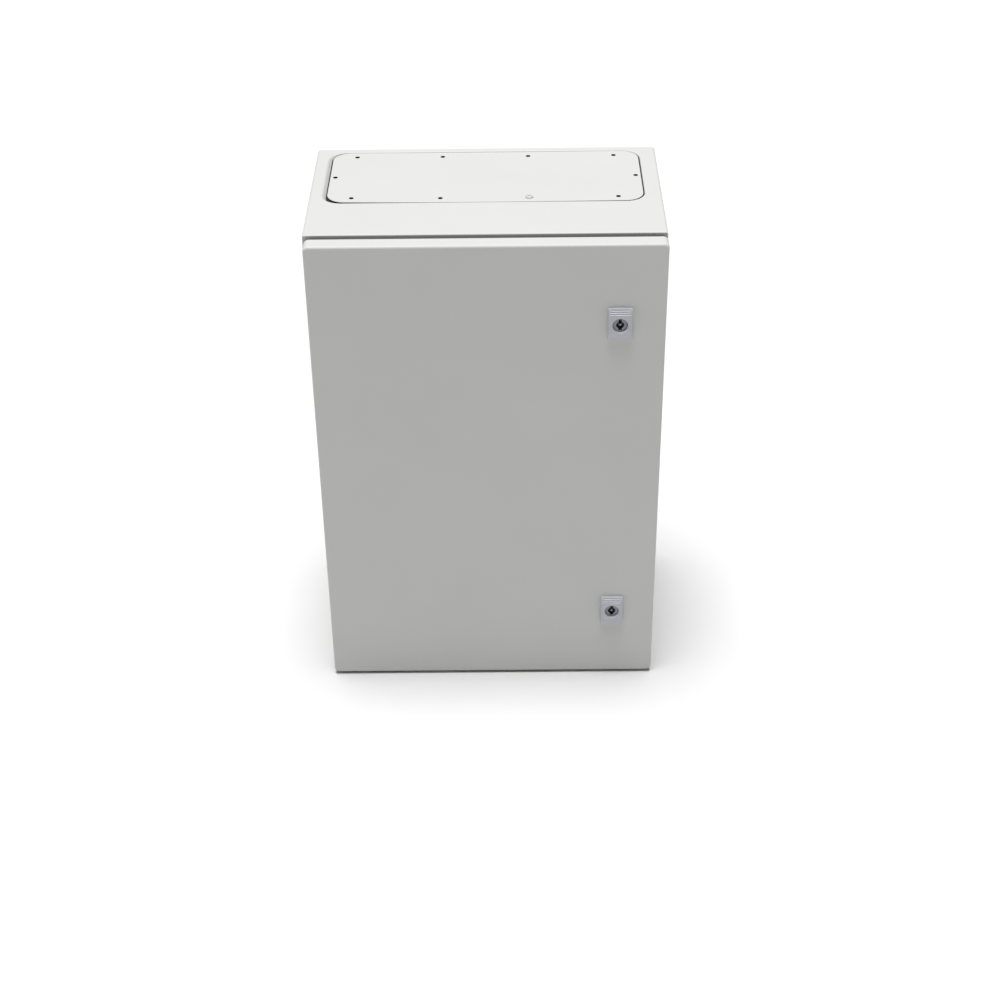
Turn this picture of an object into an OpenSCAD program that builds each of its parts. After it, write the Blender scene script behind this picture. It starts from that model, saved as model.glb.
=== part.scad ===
// Wall cabinet that holds a motor-driven automatic transfer switch.
// X runs left to right, Y from the door (negative) to the wall (positive), Z up.
// The origin is the middle of the cabinet's base.

/* [Cabinet] */
// Overall width
cab_w = 400; // [396:1:430]
// Overall height
cab_h = 600; // [596:1:630]
// Overall depth, from the wall face to the door face
cab_d = 250; // [250:1:290]
// Depth that the door and the gap behind it take up
door_zone = 23.4; // [22:0.1:26]
// Thickness of the folded sheet
sheet = 1.5; // [1.2:0.1:1.5]
// Outer radius of the sheet's bends
bend_r = 3; // [2.5:0.5:4]
// Width of the front flange that is turned inward
flange_w = 14; // [12:1:15]

/* [Gland plate] */
// Width of the gland plate
gland_w = 358.6; // [350:0.1:360]
// Depth of the gland plate
gland_d = 135.5; // [130:0.5:138]
// Corner radius of the gland plate
gland_r = 20; // [15:1:25]
// Thickness of the gland plate
gland_t = 2; // [1.5:0.5:2]
// Width of the gap round the gland plate, on average
gland_gap = 1.5; // [1.2:0.1:2]
// Depth of the roof recess that the gland plate lies in
recess_z = 4; // [3.8:0.1:5]
// Diameter of the gland plate's holes
gland_hole = 5.6; // [5:0.1:6]

/* [Door] */
// Width of the door pan
door_w = 398; // [392:1:399]
// Height of the door pan
door_h = 594.4; // [590:0.2:595]
// Depth of the door pan
door_pan_d = 18.5; // [17:0.5:18.5]
// How far the door's middle lies to the right of the cabinet's
door_x = 1; // [0:0.1:1]
// Corner radius of the door, seen from the front
door_r = 6; // [5:1:8]
// Radius of the bend round the door's front edge
door_bend = 3; // [2.5:0.5:3]

/* [Locks] */
// Distance of each lock's axis from the cabinet's middle
lock_x = 148.5; // [140:0.5:150]
// Height of the lower lock's axis
lock_low_z = 100; // [90:1:110]
// Height of the upper lock's axis
lock_high_z = 500; // [490:1:510]
// Width of a lock housing
lock_w = 26.6; // [25:0.1:28]
// Height of a lock housing
lock_h = 40; // [38:1:42]
// How far a lock housing stands out of the door
lock_out = 5.5; // [5:0.5:6]
// Diameter of the lock insert
insert_dia = 16.5; // [16:0.1:17]

/* [Transfer switch] */
// Distance between neighbouring poles
pole_pitch = 36; // [36:1:36]
// Height of the rotor's axis
rotor_z = 340; // [335:1:345]
// Length of a contact blade from its axis to its tip
blade_r = 38; // [37:0.5:38]
// Angle that the rotor turns through from off to either source
throw = 30; // [28:1:30]
// Teeth on the drive gear
gear_teeth = 42; // [42:14:42]
// Teeth on the motor pinion
pinion_teeth = 14; // [14:1:14]
// Tooth module of the gears
gear_mod = 1.5; // [1.5:0.1:1.5]

/* [Control row] */
// Height of the mounting rail's centre line
rail_z = 150; // [145:1:150]
// Width of a two-pole circuit breaker
breaker_w = 36; // [35:0.5:36]
// Width of the controller
ctrl_w = 72; // [70:1:72]
// How far the buttons travel
press = 2; // [1.5:0.5:2.5]

/* [Hidden] */
$fn = 48;

// Colours
paint = [0.92, 0.92, 0.91];
zinc = [0.72, 0.73, 0.75];
steel = [0.6, 0.61, 0.62];
black_foam = [0.08, 0.08, 0.08];
dark_plastic = [0.16, 0.17, 0.18];
grey_plastic = [0.55, 0.56, 0.58];
pale_plastic = [0.83, 0.84, 0.84];
copper = [0.78, 0.47, 0.3];

// Cabinet faces
y_wall = cab_d / 2;
y_door = -cab_d / 2;
y_front = y_door + door_zone;
body_d = y_wall - y_front;
mid_z = cab_h / 2;
fit = 0.05;

// Front opening: the lip is turned forward at the flange's inner edge
open_w = cab_w - 2 * flange_w - 2 * sheet;
open_h = cab_h - 2 * flange_w - 2 * sheet;
lip_l = 13.4;

// Gland plate: its place in the roof and its hole rows
gland_x = -0.3;
gland_y = 48;
recess_x = gland_x - 1.5;
recess_y = gland_y - 0.5;
recess_w = gland_w + 2 * gland_gap + 3;
recess_d = gland_d + 2 * gland_gap - 1;
recess_r = gland_r + gland_gap;
gland_z = cab_h - recess_z + 1.5;
gland_rows = [gland_y - 57, gland_y + 56];
gland_cols = [for (i = [-1.5 : 1.5]) -0.7 + i * 100.7];
gland_side_x = 173.5;
roof_open = [328, 96];

// Wall holes and the mounting plate's studs
wall_hole_x = cab_w / 2 - 18;
wall_hole_z = [18, cab_h - 18];
wall_hole_d = 8.5;
plate_w = 340;
plate_h = 540;
plate_y = y_wall - 19;
stud_x = 155;
stud_z = [mid_z - 255, mid_z + 255];
earth_stud_y = -70;

// Hinges
hinge_x = -cab_w / 2 + 2.2;
hinge_y = y_front - 2.4;
hinge_z = [80, cab_h - 80];
knuckle_d = 4.2;
pin_d = 2.4;
knuckle_l = 15;

// Door
door_in = y_door + sheet;
door_x0 = door_x - door_w / 2;
rail_x = 164.5;
lock_zs = [lock_low_z, lock_high_z];
cam_y = y_front + sheet + 0.4;

// Transfer switch, a row of four poles with the gearbox at its right
sw_x0 = -111;
sw_x1 = 41;
gb_x1 = 111;
sw_z0 = rotor_z - 75;
sw_z1 = rotor_z + 75;
sw_split = plate_y - 86;
sw_front = plate_y - 110;
shaft_y = plate_y - 52;
shaft_d = 12;
poles = [for (i = [0 : 3]) sw_x0 + 22 + i * pole_pitch];
walls_x = [for (i = [0 : 2]) poles[i] + pole_pitch / 2];
contact_dy = blade_r * sin(throw);
source_a_y = shaft_y + contact_dy;
source_b_y = shaft_y - contact_dy;
leaf_gap = 1.5;
lever_x = 78;
gear_x = 48;
pinion_z = rotor_z - gear_mod * (gear_teeth + pinion_teeth) / 2;

// Control row, from left to right along the rail
rail_y = plate_y - 7.5;
rail_x0 = -134;
rail_len = 246;
breaker_x = [-104, -67.5];
breaker_on = 40;
toggle_y = rail_y - 58;
ctrl_x = -10;
ctrl_front = rail_y - 60;
button_x = [-30, -10, 10];
block_x0 = 32;
block_pitch = 8.2;
blocks = 7;

// Wiring ducts
duct_z = [204, 232];
duct_y = plate_y - 40;
duct_pitch = 10;
side_duct_x = [-166, -136];
side_duct_z = [110, 470];

// ---------- Shared shapes ----------

// Rectangle with round corners, centred
module rounded(w, h, r) {
    square([w - 2 * r, h], center = true);
    square([w, h - 2 * r], center = true);
    for (sx = [-1, 1], sy = [-1, 1])
        translate([sx * (w / 2 - r), sy * (h / 2 - r)]) circle(r);
}

// Stands a front-view outline up, filling y to y + t, about the height z
module upright(y, t, z = mid_z) {
    translate([0, y + t, z]) rotate([90, 0, 0]) linear_extrude(t) children();
}

// Runs a side-view outline (Y, Z) along X from x for len
module along_x(x, len) {
    translate([x, 0, 0]) rotate([90, 0, 90]) linear_extrude(len) children();
}

// Box between two corners
module block(a, b) {
    translate(a) cube(b - a);
}

// Round bar along X, towards the right
module bar_x(x, y, z, d, len) {
    translate([x, y, z]) rotate([0, 90, 0]) cylinder(d = d, h = len);
}

// Round bar along Y, towards the wall
module bar_y(x, y, z, d, len) {
    translate([x, y, z]) rotate([-90, 0, 0]) cylinder(d = d, h = len);
}

// Hexagon bar along Y, size across the flats
module hex_y(x, y, z, flats, len) {
    translate([x, y, z]) rotate([-90, 0, 0]) cylinder(d = flats / cos(30), h = len, $fn = 6);
}

// Places the children at each hole of the gland plate
module at_gland_holes() {
    for (x = gland_cols, y = gland_rows) translate([x, y, 0]) children();
    for (s = [-1, 1]) translate([gland_x + s * gland_side_x, gland_y - 1, 0]) children();
}

// Pan seen from above or from the side, with its front edges bent round in short flats
module pan_outline(w, d, r) {
    bend = [for (a = [0 : 22.5 : 90]) [w / 2 - r + r * cos(a), r - r * sin(a)]];
    polygon(concat([[w / 2, d]], bend, [for (i = [4 : -1 : 0]) [-bend[i][0], bend[i][1]]], [[-w / 2, d]]));
}

// Solid with the door's outer form, its front face at y_door + inset
module pan_solid(inset) {
    r = door_bend - inset;
    w = door_w - 2 * inset;
    h = door_h - 2 * inset;
    d = door_pan_d - inset;
    translate([door_x, 0, 0]) intersection() {
        upright(y_door + inset, d) rounded(w, h, door_r - inset);
        translate([0, y_door + inset, 0]) linear_extrude(cab_h) pan_outline(w, d, r);
        translate([0, y_door + inset, mid_z]) rotate([0, 90, 0])
            translate([0, 0, -cab_w / 2]) linear_extrude(cab_w) pan_outline(h, d, r);
    }
}

// ---------- Cabinet body ----------

module body_wrap() {
    color(paint) difference() {
        union() {
            // Roof, sides and base folded from one strip
            upright(y_front, body_d) difference() {
                rounded(cab_w, cab_h, bend_r);
                rounded(cab_w - 2 * sheet, cab_h - 2 * sheet, bend_r - sheet);
            }
            // Front flange, turned inward, with the sealing lip turned forward from it
            upright(y_front, sheet) difference() {
                square([cab_w - sheet, cab_h - sheet], center = true);
                square([open_w, open_h], center = true);
            }
            upright(y_front - lip_l, lip_l + sheet) difference() {
                square([open_w + 2 * sheet, open_h + 2 * sheet], center = true);
                square([open_w, open_h], center = true);
            }
            // Pan of the roof recess
            translate([recess_x, recess_y, cab_h - recess_z - sheet]) linear_extrude(recess_z + sheet)
                rounded(recess_w + 2 * sheet, recess_d + 2 * sheet, recess_r + sheet);
        }
        translate([recess_x, recess_y, cab_h - recess_z]) linear_extrude(2 * recess_z)
            rounded(recess_w, recess_d, recess_r);
        translate([0, gland_y, cab_h - 4 * recess_z]) linear_extrude(5 * recess_z)
            rounded(roof_open[0], roof_open[1], 8);
        translate([0, 0, cab_h - 3 * recess_z]) at_gland_holes() cylinder(d = 4.1, h = 4 * recess_z);
    }
}

module rear_wall() {
    color(paint) difference() {
        upright(y_wall - sheet, sheet) rounded(cab_w - 2 * sheet, cab_h - 2 * sheet, bend_r - sheet);
        for (s = [-1, 1], z = wall_hole_z) bar_y(s * wall_hole_x, y_wall - 5, z, wall_hole_d, 10);
    }
}

module weld_studs() {
    color(steel) {
        for (s = [-1, 1], z = stud_z) {
            bar_y(s * stud_x, plate_y + 2, z, 16, y_wall - sheet - plate_y - 2);
            bar_y(s * stud_x, plate_y - 18, z, 8, 20.5);
        }
        bar_x(-cab_w / 2 + sheet, earth_stud_y, mid_z, 6, 16);
    }
}

module stud_nuts() {
    color(zinc) {
        for (s = [-1, 1], z = stud_z) difference() {
            union() {
                bar_y(s * stud_x, plate_y - 1.6, z, 20, 1.6);
                hex_y(s * stud_x, plate_y - 8.1, z, 13, 6.6);
            }
            bar_y(s * stud_x, plate_y - 20, z, 8 + 2 * fit, 30);
        }
        difference() {
            translate([-cab_w / 2 + 8, earth_stud_y, mid_z]) rotate([0, 90, 0])
                cylinder(d = 10 / cos(30), h = 5, $fn = 6);
            bar_x(-cab_w / 2, earth_stud_y, mid_z, 6 + 2 * fit, 30);
        }
    }
}

module mounting_plate() {
    color(zinc) difference() {
        upright(plate_y, 2) rounded(plate_w, plate_h, 4);
        for (s = [-1, 1], z = stud_z) bar_y(s * stud_x, plate_y - 5, z, 9, 10);
    }
}

module gland_gasket() {
    color(black_foam) translate([0, 0, cab_h - recess_z]) difference() {
        union() {
            translate([gland_x, gland_y, 0]) linear_extrude(gland_z - cab_h + recess_z) difference() {
                rounded(gland_w, gland_d, gland_r);
                rounded(gland_w - 28, gland_d - 28, gland_r - 12);
            }
            at_gland_holes() cylinder(d = 14, h = gland_z - cab_h + recess_z);
        }
        translate([0, 0, -5]) at_gland_holes() cylinder(d = gland_hole, h = 10);
    }
}

module gland_plate() {
    color(paint) difference() {
        translate([gland_x, gland_y, gland_z]) linear_extrude(gland_t) rounded(gland_w, gland_d, gland_r);
        translate([0, 0, gland_z - 5]) at_gland_holes() cylinder(d = gland_hole, h = 20);
    }
}

module gland_screw() {
    top = gland_z + gland_t;
    color(zinc) translate([gland_cols[2], gland_rows[0], 0]) difference() {
        union() {
            translate([0, 0, top]) cylinder(d = 11.5, h = 0.9);
            translate([0, 0, top + 0.5]) cylinder(d1 = 8.4, d2 = 6.4, h = 2.6);
            translate([0, 0, top - 10]) cylinder(d = 4, h = 10.5);
        }
        for (a = [0, 90]) rotate(a) translate([-2.4, -0.45, top + 1.8]) cube([4.8, 0.9, 3]);
    }
}

module body_hinge_leaves() {
    color(steel) for (z = hinge_z) difference() {
        union() {
            block([hinge_x, y_front - sheet, z - 8 - knuckle_l],
                [-cab_w / 2 + flange_w - 1.5, y_front, z + 8 + knuckle_l]);
            for (z0 = [z - 8 - knuckle_l, z + 8])
                translate([hinge_x, hinge_y, z0]) cylinder(d = knuckle_d, h = knuckle_l);
        }
        block([hinge_x - 5, hinge_y - 5, z - 8], [hinge_x + 2.8, hinge_y + 5, z + 8]);
        translate([hinge_x, hinge_y, z - 50]) cylinder(d = pin_d + 2 * fit, h = 100);
    }
}

module hinge_pins() {
    color(zinc) for (z = hinge_z) {
        translate([hinge_x, hinge_y, z - 24]) cylinder(d = pin_d, h = 48);
        translate([hinge_x, hinge_y, z + 8 + knuckle_l]) cylinder(d = 3.6, h = 1.2);
    }
}

// ---------- Door ----------

module door_pan() {
    color(paint) difference() {
        pan_solid(0);
        pan_solid(sheet);
        for (z = lock_zs) bar_y(lock_x, y_door - 5, z, 22.2, 20);
    }
}

module door_seal() {
    color(black_foam) upright(door_in, 8.2) difference() {
        rounded(cab_w - 18, cab_h - 18, 8);
        rounded(cab_w - 42, cab_h - 42, 3);
    }
}

module door_rails() {
    color(zinc) for (s = [-1, 1]) difference() {
        block([s < 0 ? -rail_x - 12.5 : rail_x, door_in, 40],
            [s < 0 ? -rail_x : rail_x + 12.5, door_in + 13.5, cab_h - 40]);
        block([s < 0 ? -rail_x - 11.3 : rail_x + 1.2, door_in - 1, 39],
            [s < 0 ? -rail_x - 1.2 : rail_x + 11.3, door_in + 12.3, cab_h - 39]);
        for (z = [57.5 : 25 : cab_h - 55]) {
            bar_y(s * (rail_x + 6.25), door_in + 10, z, 4.5, 8);
            block([s * (rail_x + 6.25) - 3.5, door_in + 10, z + 7],
                [s * (rail_x + 6.25) + 3.5, door_in + 18, z + 18]);
        }
    }
}

module door_hinge_leaves() {
    color(steel) for (z = hinge_z) difference() {
        union() {
            block([hinge_x, hinge_y - 2.4, z - 7.7], [door_x0 + 2 * sheet, hinge_y - 0.9, z + 7.7]);
            block([door_x0 + sheet, door_in + 3, z - 7.7], [door_x0 + 2 * sheet, hinge_y - 0.9, z + 7.7]);
            translate([hinge_x, hinge_y, z - 7.7]) cylinder(d = knuckle_d, h = 15.4);
        }
        translate([hinge_x, hinge_y, z - 50]) cylinder(d = pin_d + 2 * fit, h = 100);
    }
}

module document_pocket() {
    color(pale_plastic) difference() {
        block([-118, door_in, 70], [118, door_in + 24, 220]);
        block([-115.5, door_in + 2.5, 72.5], [115.5, door_in + 21.5, 230]);
        block([-45, door_in + 20, 150], [45, door_in + 30, 230]);
    }
}

module lock_housings() {
    color(steel) for (z = lock_zs) translate([0, 0, z]) difference() {
        union() {
            along_x(lock_x - lock_w / 2, lock_w) polygon([
                [y_door, -lock_h / 2], [y_door - lock_out * 0.3, -lock_h / 2],
                [y_door - lock_out, -lock_h * 0.28], [y_door - lock_out, lock_h * 0.28],
                [y_door - lock_out * 0.6, lock_h / 2], [y_door, lock_h / 2]]);
            bar_y(lock_x, y_door - 1, 0, 22, 22);
        }
        bar_y(lock_x, y_door - 30, 0, insert_dia + 2 * fit, 60);
    }
}

module lock_nuts() {
    color(zinc) for (z = lock_zs) difference() {
        hex_y(lock_x, door_in, z, 27, 5);
        bar_y(lock_x, y_door, z, 22 + 2 * fit, 20);
    }
}

module door_earth_stud() {
    color(steel) bar_y(-150, door_in, mid_z + 30, 6, 16);
}

module lock_insert(z) {
    face = y_door - lock_out;
    color(zinc) translate([lock_x, 0, z]) {
        difference() {
            bar_y(0, face, 0, insert_dia, 28);
            difference() {
                union() {
                    bar_y(0, face - 1, 0, 8.6, 9);
                    block([-1.6, face - 1, -6.4], [1.6, face + 8, 6.4]);
                }
                bar_y(0, face - 2, 0, 3.4, 12);
            }
        }
        block([-4, face + 27, -4], [4, cam_y + 3.5, 4]);
        bar_y(0, cam_y + 3, 0, 5, 3);
    }
}

module lock_insert_upper() { lock_insert(lock_high_z); }

module lock_insert_lower() { lock_insert(lock_low_z); }

module lock_cam(z) {
    color(zinc) translate([lock_x, 0, z]) difference() {
        translate([0, cam_y + 2.5, 0]) rotate([90, 0, 0]) linear_extrude(2.5)
            polygon([[-8, 6], [-6, 9], [6, 9], [8, 6], [8, -40], [5, -46], [-5, -46], [-8, -40]]);
        block([-4 - fit, cam_y - 1, -4 - fit], [4 + fit, cam_y + 5, 4 + fit]);
    }
}

module lock_cam_upper() { lock_cam(lock_high_z); }

module lock_cam_lower() { lock_cam(lock_low_z); }

// ---------- Transfer switch ----------

module switch_base() {
    color(dark_plastic) difference() {
        union() {
            difference() {
                block([sw_x0, sw_split, sw_z0], [sw_x1, plate_y, sw_z1]);
                block([sw_x0 + 4, sw_split - 1, sw_z0 + 3], [sw_x1 - 4, plate_y - 4, sw_z1 - 3]);
            }
            for (x = walls_x) block([x - 1.5, sw_split, sw_z0], [x + 1.5, plate_y, sw_z1]);
        }
        bar_x(sw_x0 - 1, shaft_y, rotor_z, shaft_d + 2 * fit, 6);
        bar_x(sw_x1 - 5, shaft_y, rotor_z, shaft_d + 2 * fit, 6);
        for (x = walls_x) bar_x(x - 3, shaft_y, rotor_z, 16, 6);
        for (x = poles) {
            for (y = [source_a_y, source_b_y])
                block([x - 10.1, y - 1.6, sw_z1 - 5], [x + 10.1, y + 1.6, sw_z1 + 1]);
            block([x - 10.1, shaft_y - 1.6, sw_z0 - 1], [x + 10.1, shaft_y + 1.6, sw_z0 + 5]);
        }
    }
}

module switch_cover() {
    color(grey_plastic) difference() {
        block([sw_x0, sw_front, sw_z0], [sw_x1, sw_split, sw_z1]);
        block([sw_x0 + 4, sw_front + 3, sw_z0 + 3], [sw_x1 - 4, sw_split + 1, sw_z1 - 3]);
        block([sw_x0 + 14, sw_front - 1, rotor_z - 16], [sw_x1 - 14, sw_front + 5, rotor_z + 16]);
        at_cover_screws() bar_y(0, sw_front - 1, 0, 3.2, 6);
    }
}

// Places the children at the screws of the switch cover and the gearbox cover
module at_cover_screws() {
    for (x = [sw_x0 + 9, sw_x1 - 9, sw_x1 + 9, gb_x1 - 9], z = [sw_z0 + 9, sw_z1 - 9])
        translate([x, 0, z]) children();
}

module cover_screws() {
    color(zinc) at_cover_screws() {
        bar_y(0, sw_front - 2.4, 0, 6.4, 2.4);
        bar_y(0, sw_front - 1, 0, 3, 12);
    }
}

module cover_window() {
    color([0.75, 0.85, 0.9, 0.4])
        block([sw_x0 + 11, sw_front - 1.8, rotor_z - 19], [sw_x1 - 11, sw_front, rotor_z + 19]);
}

// Forked contact with its bar; dir is 1 for the top terminals and -1 for the bottom ones
module fork(y, dir) {
    for (s = [-1, 1])
        block([min(s * leaf_gap, s * 3.2), y - 6, dir > 0 ? 22 : -40],
            [max(s * leaf_gap, s * 3.2), y + 6, dir > 0 ? 40 : -22]);
}

module source_terminal(y, top) {
    difference() {
        union() {
            fork(y, 1);
            block([-6, y - 6, 40], [6, y + 6, 48]);
            block([-10, y - 1.5, 47], [10, y + 1.5, top]);
        }
        bar_y(0, y - 5, top - 10, 8.4, 10);
    }
}

module source_a_terminals() {
    color(copper) for (x = poles) translate([x, 0, rotor_z]) source_terminal(source_a_y, 106);
}

module source_b_terminals() {
    color(copper) for (x = poles) translate([x, 0, rotor_z]) source_terminal(source_b_y, 96);
}

module load_terminals() {
    color(copper) for (x = poles) translate([x, 0, rotor_z]) difference() {
        union() {
            for (y = [source_a_y, source_b_y]) fork(y, -1);
            block([-6, source_b_y - 6, -48], [6, source_a_y + 6, -40]);
            block([-10, shaft_y - 1.5, -106], [10, shaft_y + 1.5, -47]);
        }
        bar_y(0, shaft_y - 5, -96, 8.4, 10);
    }
}

// Bolt through a terminal bar, with its washers and its nut
module terminal_bolt(y, z) {
    hex_y(0, y - 8.5, z, 13, 5.5);
    bar_y(0, y - 3, z, 16, 1.5);
    bar_y(0, y - 4, z, 8, 13);
    bar_y(0, y + 1.5, z, 16, 1.5);
    hex_y(0, y + 2.9, z, 13, 5.6);
}

module terminal_bolts() {
    color(zinc) for (x = poles) translate([x, 0, rotor_z]) {
        terminal_bolt(source_a_y, 96);
        terminal_bolt(source_b_y, 86);
        terminal_bolt(shaft_y, -96);
    }
}

module phase_barriers() {
    color(dark_plastic) for (x = walls_x, s = [0, 1]) translate([0, 0, rotor_z]) mirror([0, 0, s])
        along_x(x - 1, 2) polygon([[plate_y - 2, 75], [plate_y - 2, 112 - 6.5 * s],
            [sw_split + 16, 112 - 6.5 * s], [sw_split + 2, 98], [sw_split + 2, 75]]);
}

module arc_chutes() {
    color(grey_plastic) for (x = poles) translate([x, shaft_y, rotor_z]) {
        for (s = [-1, 1]) block([s > 0 ? 14 : -16.5, -11, 44], [s > 0 ? 16.5 : -14, 11, 66]);
        for (i = [-2 : 2]) block([-14.5, i * 4.5 - 0.5, 45], [14.5, i * 4.5 + 0.5, 65]);
    }
}

module rotor_shaft() {
    color(pale_plastic) {
        bar_x(sw_x0 - 2, shaft_y, rotor_z, shaft_d, gb_x1 - sw_x0 + 1.5);
        for (x = poles, s = [-1, 1])
            bar_x(s > 0 ? x + 1.25 : x - 9, shaft_y, rotor_z, 22, 7.75);
    }
}

module contact_blades() {
    color(copper) for (x = poles) translate([x, shaft_y, rotor_z]) difference() {
        along_x(-1.2, 2.4) {
            square([10, 2 * blade_r], center = true);
            circle(d = 22);
        }
        bar_x(-5, 0, 0, shaft_d + 2 * fit, 10);
    }
}

// Involute gear outline with shortened teeth; slack thins each tooth at the pitch circle
module gear_outline(teeth, slack) {
    rp = gear_mod * teeth / 2;
    rb = rp * cos(20);
    ra = rp + 0.8 * gear_mod;
    rf = rp - 1.05 * gear_mod;
    half = 90 / teeth - slack / rp * 90 / PI;
    inv_p = tan(20) * 180 / PI - 20;
    radii = [for (i = [0 : 4]) max(rb, rf) + (ra - max(rb, rf)) * i / 4];
    function polar(r) = acos(min(1, rb / r));
    function flank(r) = half + inv_p - (tan(polar(r)) * 180 / PI - polar(r));
    function at(r, a) = [r * cos(a), r * sin(a)];
    tooth = [for (r = radii) [r, flank(r)]];
    polygon([for (t = [0 : teeth - 1]) each concat(
        [at(rf, t * 360 / teeth - flank(radii[0]))],
        [for (p = tooth) at(p[0], t * 360 / teeth - p[1])],
        [for (i = [4 : -1 : 0]) at(tooth[i][0], t * 360 / teeth + tooth[i][1])],
        [at(rf, t * 360 / teeth + flank(radii[0]))])]);
}

module drive_gear() {
    color(steel) translate([0, shaft_y, rotor_z]) difference() {
        union() {
            along_x(gear_x, 8) gear_outline(gear_teeth, 0.16);
            bar_x(gear_x + 7, 0, 0, 22, 9);
        }
        bar_x(gear_x - 5, 0, 0, shaft_d + 2 * fit, 30);
    }
}

module lever_handle() {
    color([0.75, 0.1, 0.08]) translate([lever_x, shaft_y, rotor_z]) difference() {
        union() {
            bar_x(-8, 0, 0, 26, 16);
            block([-4, -80, -5], [4, -8, 5]);
            bar_y(0, -118, 0, 17, 40);
        }
        bar_x(-10, 0, 0, shaft_d + 2 * fit, 20);
    }
}

module gearbox_base() {
    color(dark_plastic) difference() {
        block([sw_x1, sw_split, sw_z0], [gb_x1, plate_y, sw_z1]);
        block([sw_x1 + 3, sw_split - 1, sw_z0 + 3], [gb_x1 - 3, plate_y - 4, sw_z1 - 3]);
        bar_x(sw_x1 - 1, shaft_y, rotor_z, 14, 6);
        bar_x(gb_x1 - 5, shaft_y, rotor_z, shaft_d + 2 * fit, 6);
    }
}

module gearbox_cover() {
    slot_z = 41;
    color(grey_plastic) difference() {
        union() {
            block([sw_x1, sw_front, sw_z0], [gb_x1, sw_split, sw_z1]);
            block([lever_x - 12, sw_front - 3, rotor_z - slot_z - 8],
                [lever_x + 12, sw_front + 1, rotor_z + slot_z + 8]);
        }
        block([sw_x1 + 3, sw_front + 3, sw_z0 + 3], [gb_x1 - 3, sw_split + 1, sw_z1 - 3]);
        block([lever_x - 6, sw_front - 5, rotor_z - slot_z - 2],
            [lever_x + 6, sw_front + 5, rotor_z + slot_z + 2]);
        at_cover_screws() bar_y(0, sw_front - 1, 0, 3.2, 6);
    }
}

module gearmotor() {
    color(steel) difference() {
        union() {
            bar_x(62, shaft_y, pinion_z, 36, 34);
            bar_x(95, shaft_y, pinion_z, 30, 8);
            bar_x(58, shaft_y, pinion_z, 10, 5);
        }
        bar_x(50, shaft_y, pinion_z, 5 + 2 * fit, 24);
    }
}

module motor_bracket() {
    color(zinc) difference() {
        union() {
            block([60, shaft_y - 24, pinion_z - 20], [62, plate_y - 4, pinion_z + 20]);
            block([60, plate_y - 6, pinion_z - 20], [100, plate_y - 4, pinion_z + 20]);
        }
        bar_x(55, shaft_y, pinion_z, 10 + 2 * fit, 10);
    }
}

module motor_pinion() {
    color(steel) translate([0, shaft_y, pinion_z]) {
        along_x(gear_x - 1, 10) rotate(90) gear_outline(pinion_teeth, 0.16);
        bar_x(gear_x - 2, 0, 0, 5, 26);
    }
}

// ---------- Control row ----------

module din_rail() {
    half = [[6.5, 12.5], [0, 12.5], [0, 17.5], [1, 17.5], [1, 13.5], [7.5, 13.5]];
    color(zinc) difference() {
        along_x(rail_x0, rail_len) translate([rail_y, rail_z])
            polygon(concat(half, [for (i = [5 : -1 : 0]) [half[i][0], -half[i][1]]]));
        for (x = [rail_x0 + 20 : 25 : rail_x0 + rail_len - 10])
            block([x - 7, rail_y + 4, rail_z - 3], [x + 7, plate_y + 2, rail_z + 3]);
    }
}

module end_stops() {
    color(grey_plastic) for (x = [rail_x0 + 2, 92]) difference() {
        block([x, rail_y - 32, rail_z - 22], [x + 8, rail_y, rail_z + 22]);
        bar_y(x + 4, rail_y - 40, rail_z, 5, 20);
    }
}

// Side view of a rail-mounted breaker, measured forward of the rail and up from its centre line
module breaker_outline() {
    polygon([[rail_y, -42], [rail_y - 44, -42], [rail_y - 44, -23], [rail_y - 64, -23],
        [rail_y - 64, 23], [rail_y - 44, 23], [rail_y - 44, 42], [rail_y, 42]]);
}

module breaker_bodies() {
    color(pale_plastic) for (x = breaker_x) translate([0, 0, rail_z]) difference() {
        along_x(x - breaker_w / 2, breaker_w) breaker_outline();
        bar_x(x - 7, toggle_y, 0, 17, 14);
        block([x - 7, rail_y - 66, -11], [x + 7, toggle_y - 1, 11]);
        bar_x(x - 11, toggle_y, 0, 3 + 2 * fit, 22);
        for (s = [-1, 1], e = [-1, 1]) {
            bar_y(x + s * 9, rail_y - 45, e * 33, 6, 6);
            translate([x + s * 9, rail_y - 24, e * 42 - 6]) cylinder(d = 6, h = 12);
        }
    }
}

module breaker_toggle(x) {
    color(dark_plastic) translate([x, toggle_y, rail_z]) rotate([-breaker_on, 0, 0]) {
        bar_x(-6.5, 0, 0, 16, 13);
        bar_x(-10, 0, 0, 3, 20);
        block([-6.5, -18, -2.2], [6.5, -6, 2.2]);
    }
}

module breaker_toggle_left() { breaker_toggle(breaker_x[0]); }

module breaker_toggle_right() { breaker_toggle(breaker_x[1]); }

module controller_case() {
    color(dark_plastic) translate([0, 0, rail_z]) difference() {
        along_x(ctrl_x - ctrl_w / 2, ctrl_w) polygon([[rail_y, -45], [rail_y - 45, -45],
            [ctrl_front, -36], [ctrl_front, 36], [rail_y - 45, 45], [rail_y, 45]]);
        block([ctrl_x - 26, ctrl_front - 1, -6], [ctrl_x + 26, ctrl_front + 1.6, 28]);
        for (x = button_x) bar_y(x, ctrl_front - 1, -20, 9.2, 15);
    }
}

module controller_display() {
    color([0.1, 0.16, 0.2]) translate([0, 0, rail_z])
        block([ctrl_x - 26, ctrl_front, -6], [ctrl_x + 26, ctrl_front + 1.6, 28]);
}

module push_button(x, shade) {
    color(shade) bar_y(x, ctrl_front - press - 0.6, rail_z - 20, 9, 11);
}

module button_auto() { push_button(button_x[0], [0.15, 0.5, 0.25]); }

module button_manual() { push_button(button_x[1], [0.8, 0.65, 0.15]); }

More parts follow.
